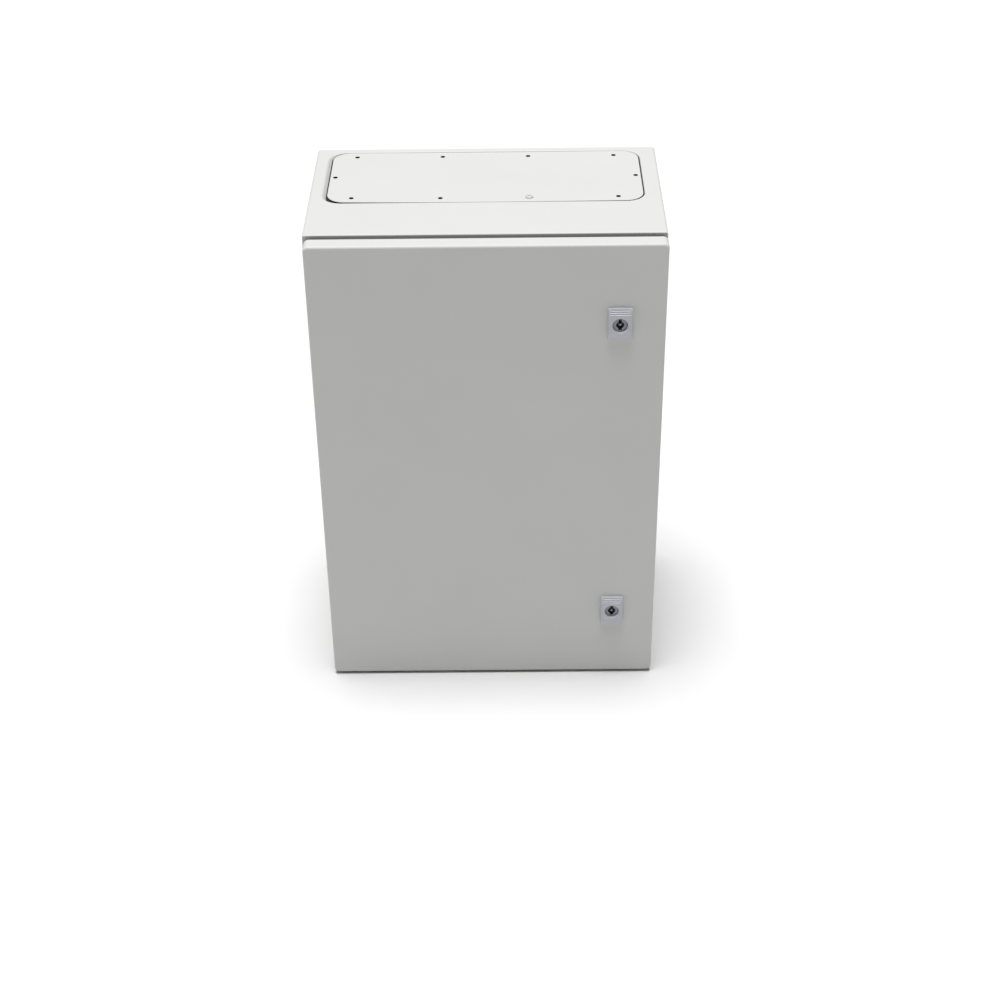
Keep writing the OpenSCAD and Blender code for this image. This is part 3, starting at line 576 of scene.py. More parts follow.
class Mould:
    """One mesh piece while it is being built."""

    def __init__(self) -> None:
        """Starts an empty mesh."""
        self.bm = bmesh.new()

    def ring(self, points: Iterable[Sequence[float]]) -> list[bmesh.types.BMVert]:
        """Adds a closed ring of vertices, not yet joined by faces."""
        return [self.bm.verts.new(p) for p in points]

    def strip(self, first: list, second: list) -> None:
        """Joins two rings with a band of faces.

        Args:
            first: a ring of vertices.
            second: a ring of as many vertices.
        """
        count = len(first)
        for i in range(count):
            j = (i + 1) % count
            self.bm.faces.new((first[i], first[j], second[j], second[i]))

    def loft(self, rings: list[list]) -> list[list]:
        """Joins each ring to the next.

        Args:
            rings: the rings, in order.

        Returns:
            The same rings.
        """
        for first, second in zip(rings, rings[1:]):
            self.strip(first, second)
        return rings

    def lid(self, ring: list, holes: Sequence[list] = ()) -> None:
        """Fills a flat ring, leaving the holes open.

        Args:
            ring: the outer ring of vertices.
            holes: the rings of the holes in it.
        """
        if not holes:
            self.bm.faces.new(ring)
            return
        edges = []
        for loop in (ring, *holes):
            for i, vert in enumerate(loop):
                ahead = loop[(i + 1) % len(loop)]
                edges.append(self.bm.edges.get((vert, ahead)) or self.bm.edges.new((vert, ahead)))
        bmesh.ops.triangle_fill(self.bm, use_beauty=True, edges=edges)

    def solid(self, outline: Sequence[Point], depth: float, lift: Matrix, edge: float = 0.0) -> None:
        """Adds a straight solid with its outline in its own plane and small rounded rims.

        Args:
            outline: the outline's points, counter-clockwise.
            depth: how thick the solid is.
            lift: places the solid in the frame; its thickness runs along its own Z.
            edge: how much the rims are eased by.
        """
        centre = Vector((sum(p[0] for p in outline), sum(p[1] for p in outline))) / len(outline)
        reach = max((Vector(p) - centre).length for p in outline)
        levels = [(0.0, edge), (edge, 0.0), (depth - edge, 0.0), (depth, edge)]
        rings = []
        for z, inset in levels:
            scale = 1.0 - inset / reach
            eased_in = [centre + (Vector(p) - centre) * scale for p in outline]
            rings.append(self.ring(lift @ Vector((*spot, z)) for spot in eased_in))
        self.loft(rings)
        self.lid(rings[0])
        self.lid(rings[-1])

    def turn(self, profile: Sequence[Point], lift: Matrix, count: int = 32) -> None:
        """Adds a turned solid.

        Args:
            profile: (radius, height) points from one end to the other; a radius of 0 closes an end.
            lift: places the solid; its axis is its own Z.
            count: the facets round it.
        """
        rings = []
        for radius, height in profile:
            if radius:
                outline = circle_loop(0, 0, radius, count)
                rings.append(self.ring(lift @ Vector((*p, height)) for p in outline))
            else:
                rings.append([self.bm.verts.new(lift @ Vector((0, 0, height)))])
        for first, second in zip(rings, rings[1:]):
            if len(first) == len(second) > 1:
                self.strip(first, second)
            elif len(first) > 1 or len(second) > 1:
                tip, rim = (first[0], second) if len(first) == 1 else (second[0], first)
                for i in range(count):
                    self.bm.faces.new((tip, rim[i], rim[(i + 1) % count]))
        for end in (rings[0], rings[-1]):
            if len(end) > 1:
                self.lid(end)

    def tube(self, path: Sequence[Vector], radius: float, count: int = 10) -> None:
        """Adds a round wire.

        Args:
            path: the points that its middle follows.
            radius: its radius.
            count: the facets round it.
        """
        last = len(path) - 1
        ahead = [(path[min(i + 1, last)] - path[max(i - 1, 0)]).normalized() for i in range(last + 1)]
        side = ahead[0].orthogonal()
        rings = []
        for spot, way in zip(path, ahead):
            side = (side - way * side.dot(way)).normalized()
            other = way.cross(side)
            outline = circle_loop(0, 0, radius, count)
            rings.append(self.ring(spot + side * u + other * v for u, v in outline))
        self.loft(rings)
        self.lid(rings[0])
        self.lid(rings[-1])

    def screw(self, lift: Matrix, radius: float, height: float, count: int = 20) -> None:
        """Adds a pan head with a cross recess.

        Args:
            lift: places the head; its top faces its own +Z.
            radius: its radius.
            height: its height.
            count: the facets round it.
        """
        rings = [
            self.ring(lift @ Vector((*p, z * height)) for p in circle_loop(0, 0, r * radius, count))
            for r, z in ((1.0, 0.0), (1.0, 0.5), (0.95, 0.75), (0.84, 0.93), (0.72, 1.0))
        ]
        self.loft(rings)
        self.lid(rings[0])
        arm, half = 0.56 * radius, 0.13 * radius
        quarter = [(arm, half), (half, half), (half, arm)]
        cross = []
        for turn in range(4):
            c, s = (1, 0, -1, 0)[turn], (0, 1, 0, -1)[turn]
            cross += [(x * c - y * s, x * s + y * c) for x, y in quarter]
        mouth = self.ring(lift @ Vector((x, y, height)) for x, y in cross)
        floor = self.ring(lift @ Vector((x * 0.7, y * 0.7, 0.35 * height)) for x, y in cross)
        self.lid(rings[-1], [mouth])
        self.strip(mouth, floor)
        self.lid(floor)

    def plate(self, outline: Sequence[Point], holes: Sequence[Sequence[Point]], depth: float,
              lift: Matrix, edge: float = 0.0) -> None:
        """Adds a flat plate with holes and eased rims.

        Args:
            outline: the plate's outline, counter-clockwise.
            holes: the outlines of its holes.
            depth: its thickness.
            lift: places the plate; its thickness runs along its own Z.
            edge: how much its rims are eased by.
        """
        centre = Vector((sum(p[0] for p in outline), sum(p[1] for p in outline))) / len(outline)
        reach = max((Vector(p) - centre).length for p in outline)
        lids, levels = [], [(0.0, edge), (edge, 0.0), (depth - edge, 0.0), (depth, edge)]
        for loop, side in ((outline, 1.0), *((hole, 0.0) for hole in holes)):
            rings = []
            for z, inset in levels if side and edge else ((0.0, 0.0), (depth, 0.0)):
                scale = 1.0 - inset / reach
                rings.append(self.ring(
                    lift @ Vector((*(centre + (Vector(p) - centre) * scale), z)) for p in loop))
            self.loft(rings)
            lids.append((rings[0], rings[-1]))
        for end in (0, 1):
            self.lid(lids[0][end], [pair[end] for pair in lids[1:]])

    def take(self, node: str) -> None:
        """Copies a CAD node's mesh in, with its seams welded and its flats merged.

        Args:
            node: the CAD node's name.
        """
        self.bm.from_mesh(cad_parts[node].data)
        bmesh.ops.remove_doubles(self.bm, verts=self.bm.verts, dist=SEAM)
        bmesh.ops.dissolve_limit(self.bm, angle_limit=FLAT, verts=self.bm.verts, edges=self.bm.edges)

    def round_off(self, chosen: Callable[[bmesh.types.BMEdge], bool], width: float, steps: int) -> None:
        """Rounds the chosen edges.

        Args:
            chosen: says whether an edge is rounded.
            width: how far the rounding runs from the edge.
            steps: the segments across it.
        """
        edges = [e for e in self.bm.edges if chosen(e)]
        bmesh.ops.bevel(self.bm, geom=edges, offset=width, offset_type="OFFSET", segments=steps,
                        profile=0.5, affect="EDGES", clamp_overlap=False)

    def shift(self, offset: Callable[[Vector], Vector]) -> None:
        """Moves every vertex by offset(place)."""
        for vert in self.bm.verts:
            vert.co += offset(vert.co)

    def gridded(self, pitch: float) -> None:
        """Cuts the mesh along evenly spaced upright planes, so that it can be bent.

        Args:
            pitch: how far apart the planes are.
        """
        for axis in (0, 1):
            low = min(v.co[axis] for v in self.bm.verts)
            high = max(v.co[axis] for v in self.bm.verts)
            normal = Vector([1.0 if i == axis else 0.0 for i in range(3)])
            for i in range(1, int((high - low) / pitch)):
                geometry = [*self.bm.verts, *self.bm.edges, *self.bm.faces]
                spot = normal * (low + i * pitch)
                bmesh.ops.bisect_plane(self.bm, geom=geometry, plane_co=spot, plane_no=normal)

    def cast(self, name: str, finish: Finish, body: str | None, slot: str, stands_for: Sequence[str] = (),
             crease: float = 35.0, rim: float = 0.0) -> bpy.types.Object:
        """Turns the mesh into a finished piece of the object.

        Args:
            name: the piece's name.
            finish: what it is finished in.
            body: the CAD body it rides on, or None for a piece that is attached to no body.
            slot: the name of a material slot; not used.
            stands_for: the CAD nodes it replaces.
            crease: edges that turn by more than this many degrees stay sharp.
            rim: how wide the rounding of its sharp edges is; 0 leaves them as they are.

        Returns:
            The new object.
        """
        bmesh.ops.recalc_face_normals(self.bm, faces=self.bm.faces)
        for face in self.bm.faces:
            face.smooth = True
        for edge in self.bm.edges:
            sharp = len(edge.link_faces) != 2 or edge.calc_face_angle(0.0) > math.radians(crease)
            edge.smooth = not sharp
        mesh = bpy.data.meshes.new(name)
        self.bm.to_mesh(mesh)
        self.bm.free()
        piece = bpy.data.objects.new(name, mesh)
        bpy.context.scene.collection.objects.link(piece)
        mesh.materials.append(finish.material)
        if rim:
            ease(piece, rim, 3)
        weigh(piece)
        if body:
            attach(piece, body)
        if stands_for:
            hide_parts(*stands_for)
        LOG.info("%s: %d faces on %s", name, len(mesh.polygons), body)
        return piece


def weigh(piece: bpy.types.Object) -> None:
    """Adds normals weighted by face size, so that flat faces stay flat beside round ones."""
    weighted = piece.modifiers.new("weighted_normals", "WEIGHTED_NORMAL")
    weighted.keep_sharp = True


def upright(y: float, z: float = 0.0, x: float = 0.0) -> Matrix:
    """Lift for a solid drawn from the front: its own Z runs towards the door from y."""
    return Matrix.Translation((x, y, z)) @ Matrix.Rotation(math.radians(90), 4, "X")


def level(z: float, x: float = 0.0, y: float = 0.0) -> Matrix:
    """Lift for a solid drawn from above, whose own Z runs up from z."""
    return Matrix.Translation((x, y, z))


def ease(piece: bpy.types.Object, width: float, segments: int = 2) -> None:
    """Rounds a piece's sharp edges with a modifier.

    Args:
        piece: the object.
        width: how wide the rounding is.
        segments: the steps in it.
    """
    bevel = piece.modifiers.new("eased_edges", "BEVEL")
    bevel.width = width
    bevel.segments = segments
    bevel.limit_method = "ANGLE"
    bevel.angle_limit = SHARP
    bevel.miter_outer = "MITER_ARC"


def dress(node: str, finish: Finish, rounding: float) -> None:
    """Gives a CAD node its finish and eases its sharp edges.

    Args:
        node: the CAD node's name.
        finish: what it is finished in.
        rounding: how wide the rounding of its edges is.
    """
    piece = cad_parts[node]
    piece.data.materials.clear()
    piece.data.materials.append(finish.material)
    weld = piece.modifiers.new("weld", "WELD")
    weld.merge_threshold = SEAM
    merge = piece.modifiers.new("merge_flats", "DECIMATE")
    merge.decimate_type = "DISSOLVE"
    merge.angle_limit = FLAT
    ease(piece, rounding)
    weigh(piece)
    LOG.info("%s dressed in %s", node, finish.value.name)


@cache
def corners(node: str) -> tuple[Vector, Vector]:
    """The lowest and highest corners of a CAD node's box."""
    low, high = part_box(node)
    return low.freeze(), high.freeze()


def centre_of(node: str) -> Vector:
    """The middle of a CAD node's box."""
    low, high = corners(node)
    return (low + high) / 2


def hoop(centre: Vector, radius: float, y: float, count: int = 40) -> list[Vector]:
    """A circle that faces the door, at depth y round centre."""
    return [Vector((centre.x + x, y, centre.z + z)) for x, z in circle_loop(0, 0, radius, count)]


def eased(points: Sequence[Point3], rounds: int = 1) -> list[Vector]:
    """Cuts the corners of a route.

    Args:
        points: the route's corners.
        rounds: how many times its corners are cut.

    Returns:
        The smoother route, with the same two ends.
    """
    route = [Vector(p) for p in points]
    for _ in range(rounds):
        cut = [route[0]]
        for here, there in zip(route, route[1:]):
            cut += [here.lerp(there, 0.25), here.lerp(there, 0.75)]
        route = [*cut, route[-1]]
    return route


# ---------------------------------------------------------------- the cabinet


@dataclass
class CabinetBody:
    """The folded body: shell, rear wall, mounting plate and its studs."""

    edge: float = 0.45 * MM
    front_bend: float = 1.5 * MM
    turn_in: float = 3.5 * MM
    rim_bend: float = 1.4 * MM
    recess_gaps: tuple[float, float, float, float] = (4.5 * MM, 1.5 * MM, 1.5 * MM, 0.5 * MM)
    recess_depth: float = 4.0 * MM
    recess_corner: float = 21.5 * MM
    lay_back: float = 1.4 * MM
    run_in: float = 2.4 * MM

    def _recess(self) -> tuple[Vector, Vector]:
        """The roof's recess, seen from above.

        Returns:
            Its lowest and highest corners.
        """
        low, high = corners("gland_plate")
        left, right, near, far = self.recess_gaps
        return Vector((low.x - left, low.y - near)), Vector((high.x + right, high.y + far))

    def _beyond(self, place: Vector) -> float:
        """How far a point is outside the recess's outline, seen from above.

        Args:
            place: the point.

        Returns:
            The distance, below nought inside the outline.
        """
        low, high = self._recess()
        middle, half = (low + high) / 2, (high - low) / 2
        past = [max(abs(place[i] - middle[i]) - half[i] + self.recess_corner, 0.0) for i in (0, 1)]
        return math.hypot(*past) - self.recess_corner

    def _dent(self, place: Vector, roof: float) -> Vector:
        """How far a point of the recess's left wall is moved, so that the wall becomes a soft slope.

        Args:
            place: the point.
            roof: the roof's height.

        Returns:
            Its movement.
        """
        low, _ = self._recess()
        beyond, slack = self._beyond(place), 0.1 * MM
        inner = abs(beyond) < slack or place.z > roof - self.rim_bend - 2 * HAIR
        near = -slack < beyond + 2 * HAIR < self.rim_bend + slack
        down = (roof - place.z) / self.recess_depth
        if not inner or not near or down > 1.01:
            return Vector((0.0, 0.0, 0.0))
        share = min(1.0, max(0.0, 1.0 - (place.x - low.x) / self.recess_corner))
        return Vector((share * (down * (self.lay_back + self.run_in) - self.lay_back), 0.0, 0.0))

    def shell(self) -> None:
        """Builds the shell: its front edge is bent round, and its roof runs down into the recess."""
        low, high = corners("body_wrap")
        roof, mould = high.z, Mould()
        mould.take("body_wrap")
        front = min(v.co.y for v in mould.bm.verts if v.co.z > roof - HAIR)
        side, bottom, top = high.x - self.turn_in, low.z + self.turn_in, roof - self.turn_in

        def turned(edge: bmesh.types.BMEdge) -> bool:
            """Whether an edge turns by about a right angle."""
            return edge.calc_face_angle(0.0) > math.radians(60)

        def on_recess(edge: bmesh.types.BMEdge) -> bool:
            """Whether an edge is the recess's upper rim."""
            return turned(edge) and all(
                abs(v.co.z - roof) < HAIR and abs(self._beyond(v.co)) < 0.2 * MM for v in edge.verts)

        def on_front(edge: bmesh.types.BMEdge) -> bool:
            """Whether an edge is the front's outer rim.

            Args:
                edge: the edge.

            Returns:
                True where it is.
            """
            return turned(edge) and all(
                abs(v.co.y - front) < HAIR and (abs(v.co.x) > side or not bottom < v.co.z < top)
                for v in edge.verts)

        mould.round_off(on_recess, self.rim_bend, 4)
        mould.round_off(on_front, self.front_bend, 4)
        mould.shift(lambda place: self._dent(place, roof))
        mould.cast("cabinet_shell", Finish.PAINT, "cabinet", "cabinet_paint", ["body_wrap"], 44.0, self.edge)

    def build(self) -> None:
        """Builds the shell and dresses the rest of the body."""
        self.shell()
        dress("rear_wall", Finish.PAINT, self.edge)
        dress("mounting_plate", Finish.GALVANISED, self.edge)
        dress("weld_studs", Finish.STEEL, 0.3 * MM)
        dress("stud_nuts", Finish.ZINC, 0.35 * MM)
        dress("body_hinge_leaves", Finish.STEEL, 0.2 * MM)
        dress("hinge_pins", Finish.ZINC, 0.2 * MM)


@dataclass
class GlandPlateSet:
    """The plate that closes the roof's cable opening, with its gasket and its one fitted screw."""

    corner: float = 20.0 * MM
    hole_r: float = 2.8 * MM
    hole_pitch: float = 100.7 * MM
    hole_shift: float = -0.4 * MM
    row_reach: tuple[float, float] = (-57.0 * MM, 56.0 * MM)
    side_reach: float = 173.5 * MM
    side_shift: float = -1.0 * MM
    bow: float = 1.25 * MM
    sink: float = 0.3 * MM
    sheet: float = 1.0 * MM
    squeezed: tuple[float, float, float, float] = (1.8 * MM, 1.3 * MM, 1.35 * MM, 0.35 * MM)
    opening: tuple[float, float] = (328.6 * MM, 97.0 * MM)

    def _holes(self) -> list[Point]:
        """The middles of the holes.

        Returns:
            Points measured from the plate's middle.
        """
        spots = [(self.hole_shift + i * self.hole_pitch, y)
                 for i in (-1.5, -0.5, 0.5, 1.5) for y in self.row_reach]
        return [*spots, (-self.side_reach, self.side_shift), (self.side_reach, self.side_shift)]

    def _warp(self, spot: Vector) -> Vector:
        """How far a point of the plate is lifted by the bow in its sheet.

        Args:
            spot: the point.

        Returns:
            Its movement.
        """
        low, high = corners("gland_plate")
        middle, half = (low + high) / 2, (high - low) / 2
        u, v = (spot.x - middle.x) / half.x, (spot.y - middle.y) / half.y
        corner = self.bow * u * u * (0.66 - 0.34 * u) * (1 - v) / 2
        return Vector((0.0, 0.0, corner - self.sink * (1 - u * u)))

    def plate(self) -> None:
        """Builds the slightly bowed plate."""
        low, high = corners("gland_plate")
        middle, size = (low + high) / 2, high - low
        mould = Mould()
        mould.plate(rounded_loop(size.x, size.y, self.corner, 12),
                    [circle_loop(x, y, self.hole_r, 24) for x, y in self._holes()],
                    self.sheet, level(high.z - self.sheet, middle.x, middle.y), 0.3 * MM)
        mould.gridded(24 * MM)
        mould.shift(self._warp)
        mould.cast("gland_plate_sheet", Finish.PAINT, "cabinet", "cabinet_paint", ["gland_plate"])

    def gasket(self) -> None:
        """Builds the foam gasket, squeezed out to the recess's walls."""
        low, high = corners("gland_plate")
        left, right, near, far = self.squeezed
        base, thick = corners("gland_gasket")[0].z + 0.02 * MM, 2.3 * MM
        middle = Vector(((low.x - left + high.x + right) / 2, (low.y - near + high.y + far) / 2))
        plate, mould = (low + high) / 2, Mould()
        inner = [(x - middle.x, y + plate.y - middle.y)
                 for x, y in rounded_loop(*self.opening, 8 * MM)]
        holes = [circle_loop(plate.x + x - middle.x, plate.y + y - middle.y, self.hole_r, 16)
                 for x, y in self._holes()]
        outline = rounded_loop(high.x - low.x + left + right, high.y - low.y + near + far, self.corner, 12)
        mould.plate(outline, [inner, *holes], thick, level(base, middle.x, middle.y), 0.4 * MM)
        mould.cast("gland_gasket_foam", Finish.FOAM, "cabinet", "black_foam", ["gland_gasket"])

    def sleeves(self) -> None:
        """Builds black foam sleeves, each with a cap at its foot, in the empty holes: painted shade that
        darkens the holes.
        """
        low, high = corners("gland_plate")
        screw, middle, mould = centre_of("gland_screw"), (low + high) / 2, Mould()
        outer, inner = self.hole_r - 0.02 * MM, self.hole_r - 0.5 * MM
        for x, y in self._holes():
            spot = Vector((middle.x + x, middle.y + y, 0.0))
            if (spot.xy - screw.xy).length < self.hole_r:
                continue
            rise = self._warp(spot).z
            levels = ((outer, low.z - 3 * MM), (outer, high.z - 0.35 * MM + rise),
                      (inner, high.z - 0.2 * MM + rise), (inner, low.z - 3 * MM))
            rings = [mould.ring((*p, z) for p in circle_loop(spot.x, spot.y, r, 24)) for r, z in levels]
            mould.loft([*rings, rings[0]])
            # painted shade: a black cap closes the foot of each hole
            mould.turn([(0, low.z - 2.6 * MM), (inner, low.z - 2.6 * MM), (inner, low.z - 2 * MM),
                        (0, low.z - 2 * MM)], level(0.0, spot.x, spot.y), 24)
        # painted shade: the black sleeves stand in for the shadow inside the holes
        mould.cast("gland_hole_shade_sleeves", Finish.FOAM, "cabinet", "black_foam")

    def screw(self) -> None:
        """Builds the fitted screw with its washer."""
        top = corners("gland_plate")[1].z
        spot, mould = centre_of("gland_screw"), Mould()
        top -= self.sink
        mould.turn([(0, -8 * MM), (1.9 * MM, -8 * MM), (1.9 * MM, -0.1 * MM), (5.1 * MM, -0.1 * MM),
                    (5.3 * MM, 0.15 * MM), (5.2 * MM, 0.35 * MM), (4.9 * MM, 0.5 * MM),
                    (0, 0.5 * MM)], level(top, spot.x, spot.y), 40)
        mould.screw(level(top + 0.5 * MM, spot.x, spot.y), 4.2 * MM, 1.5 * MM, 32)
        mould.cast("gland_plate_screw", Finish.PALE_ZINC, "cabinet", "zinc_plated", ["gland_screw"])

    def build(self) -> None:
        """Builds the plate, its gasket, the black hole sleeves that paint shade into its holes, and its
        screw.
        """
        self.plate()
        self.gasket()
        self.sleeves()
        self.screw()


@dataclass
class Door:
    """The door pan with its rounded front edges, its stiffening rails, seal and pocket."""

    bend: float = 3.0 * MM
    corner: float = 6.0 * MM
    sheet: float = 1.5 * MM
    hole_r: float = 11.1 * MM
    bend_steps: int = 6
    lock_nodes: tuple[str, ...] = ("lock_insert_upper", "lock_insert_lower")

    def _loops(self, mould: Mould, inset: float) -> list[list]:
        """Adds the pan's rings from its open back to its flat front.

        Args:
            mould: the mesh to add them to.
            inset: how far inside the outer form they lie.

        Returns:
            The rings.
        """
        low, high = corners("door_pan")
        bend, corner = self.bend - inset, self.corner - inset
        front, middle = low.y + inset, (low + high) / 2
        width, height = high.x - low.x - 2 * inset, high.z - low.z - 2 * inset
        rings = []
        for y, inward in [(high.y, 0.0), *(
            (front + bend * (1 - math.sin(a)), bend * (1 - math.cos(a)))
            for a in (math.pi / 2 * i / self.bend_steps for i in range(self.bend_steps + 1))
        )]:
            radius = max(corner - inward, 0.4 * MM)
            loop = rounded_loop(width - 2 * inward, height - 2 * inward, radius, 8)
            rings.append(mould.ring((middle.x + x, y, middle.z + z) for x, z in loop))
        return rings

    def pan(self) -> None:
        """Builds the pan, bent round at its front edges."""
        mould = Mould()
        outer = mould.loft(self._loops(mould, 0.0))
        inner = mould.loft(self._loops(mould, self.sheet))
        mould.strip(outer[0], inner[0])
        front = corners("door_pan")[0].y
        walls = []
        for y in (front, front + self.sheet):
            rings = []
            for node in self.lock_nodes:
                rings.append(mould.ring(hoop(centre_of(node), self.hole_r, y)))
            walls.append(rings)
        mould.lid(outer[-1], walls[0])
        mould.lid(inner[-1], walls[1])
        for near, far in zip(*walls):
            mould.strip(near, far)
        mould.cast("door_pan_bent", Finish.PAINT, "door", "cabinet_paint", ["door_pan"])

    def build(self) -> None:
        """Builds the pan and dresses what is fixed to it."""
        self.pan()
        dress("door_seal", Finish.FOAM, 0.8 * MM)
        dress("door_rails", Finish.GALVANISED, 0.3 * MM)
        dress("document_pocket", Finish.PALE, 0.6 * MM)
        dress("door_hinge_leaves", Finish.STEEL, 0.2 * MM)
        dress("door_earth_stud", Finish.STEEL, 0.3 * MM)


@dataclass
class QuarterTurnLock:
    """Lock with a ribbed housing and a double-bit insert that a cam turns with."""

    body: str
    insert_node: str
    cam_node: str
    height: float = 40.0 * MM
    width: float = 26.6 * MM
    out: float = 5.5 * MM
    flat: tuple[float, float] = (-9.6 * MM, 12.0 * MM)
    bore: float = 8.4 * MM
    cheek: float = 1.8 * MM
    sunk: float = 2.0 * MM
    threads: int = 14

    @property
    def axis(self) -> Vector:
        """Where the lock's axis meets the door's face."""
        spot = centre_of(self.insert_node)
        return Vector((spot.x, corners("door_pan")[0].y, spot.z))

    def section(self) -> list[tuple[float, float, float]]:
        """Side view of the housing.

        Returns:
            Points (stand-out, height, stand-out of the plain cheek), from the bottom's back to the top's.
        """
        points = [(0.0, -20.0, 0.0), (1.3, -20.0, 1.4), (1.7, -19.6, 2.0)]
        for i in range(3):
            z, s = -19.2 + 2.6 * i, 1.8 + 1.1 * i
            points += [(s, z + 0.5, s + 0.5), (s, z + 1.3, s + 0.8), (s + 0.8, z + 2.0, s + 1.1)]
        points += [(5.8, -11.0, 5.9), (5.8, -9.9, 5.9), (5.5, -9.6, 5.9), (5.5, 12.0, 5.9)]
        for i in range(3):
            z, s = 12.4 + 2.25 * i, 5.5 - 0.64 * i
            points += [(s + 0.1, z, s + 0.4), (s, z + 0.7, s + 0.2),
                       (s - 0.95, z + 1.25, s + 0.1), (s - 0.95, z + 1.95, s - 0.1)]
        points += [(3.6, 19.2, 3.7), (3.3, 20.0, 3.4), (0.0, 20.0, 0.0)]
        return [(a * MM, b * MM, c * MM) for a, b, c in points]

    def housing(self, mould: Mould) -> None:
        """Adds the housing, open where the insert turns.

        Args:
            mould: the mesh to add it to.
        """
        spot, section, half = self.axis, self.section(), self.width / 2
        stations = []
        for x, cheek, inset in (
            (-half, 1, 0.5 * MM), (-half + 0.4 * MM, 1, 0.0), (-half + self.cheek, 1, 0.0),
            (-half + self.cheek + 0.3 * MM, 0, 0.0), (half - self.cheek - 0.3 * MM, 0, 0.0),
            (half - self.cheek, 1, 0.0), (half - 0.4 * MM, 1, 0.0), (half, 1, 0.5 * MM),
        ):
            points = []
            for ribbed, z, plain in section:
                stand = max(0.0, (plain if cheek else ribbed) - inset)
                z = math.copysign(min(abs(z), self.height / 2 - inset), z)
                points.append((spot.x + x, spot.y - stand, spot.z + z))
            stations.append(mould.ring(points))
        mould.loft(stations)
        mould.lid(stations[0])
        mould.lid(stations[-1])
        self._bore(mould, stations[3], stations[4])

    def _bore(self, mould: Mould, left: list, right: list) -> None:
        """Opens a round bore through the flat front and back.

        Args:
            mould: the housing's mesh.
            left: the ring at the flat's left end.
            right: the ring at its right end.
        """
        flat = [i for i, (_, z, _) in enumerate(self.section()) if z in self.flat]
        spot, rings = self.axis, []
        for radius, out in ((9.2 * MM, self.out), (self.bore, self.out - 0.9 * MM), (self.bore, 0.0)):
            rings.append(mould.ring(hoop(spot, radius, spot.y - out)))
        mould.loft(rings)
        for pair, ring in ((flat, rings[0]), ((len(left) - 1, 0), rings[-1])):
            corners = [left[pair[0]], left[pair[1]], right[pair[1]], right[pair[0]]]
            old = [f for f in corners[0].link_faces if all(c in f.verts for c in corners)]
            bmesh.ops.delete(mould.bm, geom=old, context="FACES_ONLY")
            mould.lid(corners, [ring])

    def barrel(self, mould: Mould) -> None:
        """Adds the threaded barrel behind the door.

        Args:
            mould: the mesh to add it to.
        """
        start, end = self.axis.y + 0.2 * MM, corners("lock_housings")[1].y
        crest, root = 10.9 * MM, 10.3 * MM
        profile = [(self.bore, end), (self.bore, start)]
        for i in range(self.threads + 1):
            y = start + (end - start) * i / self.threads
            profile += [(11.0 * MM, y)] if i in (0, self.threads) else [(crest, y - 0.3 * MM), (root, y)]
        rings = [mould.ring(hoop(self.axis, radius, y)) for radius, y in profile]
        mould.loft([*rings, rings[0]])

    def insert(self) -> None:
        """Builds the insert with its double-bit socket and centre pin."""
        spot, face, back = self.axis, self.axis.y - self.out + self.sunk, corners(self.insert_node)[1].y
        mould = Mould()

        def ring(points: Iterable[Point], y: float) -> list:
            """A ring in the lock's own plane at depth y."""
            return mould.ring((spot.x + x, y, spot.z + z) for x, z in points)

        outline = self._socket()
        rim = self.bore - 0.15 * MM
        outer = [mould.ring(hoop(spot, r, y)) for r, y in (
            (rim, back - 7.5 * MM), (rim, face + 0.5 * MM), (rim - 0.4 * MM, face),
            (rim - 1.0 * MM, face), (rim - 1.3 * MM, face + 0.35 * MM))]
        mould.loft(outer)
        mould.lid(outer[0])
        bevel = ring([(x * 1.06, z * 1.05) for x, z in outline], face + 0.35 * MM)
        socket = [bevel, ring(outline, face + 0.8 * MM), ring(outline, face + 7 * MM)]
        mould.loft(socket)
        mould.lid(socket[-1])
        mould.lid(outer[-1], [bevel])
        pin = [(1.75 * MM, -0.5 * MM), (1.75 * MM, 5.6 * MM), (1.2 * MM, 6.2 * MM), (0, 6.4 * MM)]
        mould.turn(pin, upright(face + 7.0 * MM, spot.z, spot.x), 20)
        mould.solid(rounded_loop(8 * MM, 8 * MM, 0.6 * MM, 2), back - face - 16 * MM,
                    upright(back, spot.z, spot.x), 0.3 * MM)
        mould.cast(f"{self.body}_insert", Finish.INSERT, self.body, "zinc_plated", [self.insert_node])

    def _socket(self) -> list[Point]:
        """Outline of the double-bit socket.

        Returns:
            Its points, counter-clockwise round the lock's axis.
        """
        r, bit, tip, nook = 4.3 * MM, 1.75 * MM, 6.5 * MM, 0.5 * MM
        open_angle = math.acos(bit / r)
        outline = []
        for turn in (0.0, math.pi):
            side = math.copysign(1.0, math.cos(turn))
            for i in range(17):
                a = turn - open_angle + 2 * open_angle * i / 16
                outline.append((r * math.cos(a), r * math.sin(a)))
            for corner in (1.0, -1.0):
                for i in range(4):
                    a = math.pi / 2 * (i / 3 if corner > 0 else 1 + i / 3)
                    x = corner * (bit - nook) + nook * math.cos(a)
                    z = tip - nook + nook * math.sin(a)
                    outline.append((side * x, side * z))
        return outline

    def build(self) -> None:
        """Builds the insert and dresses the cam; the housings are one piece for both locks."""
        self.insert()
        dress(self.cam_node, Finish.ZINC, 0.4 * MM)


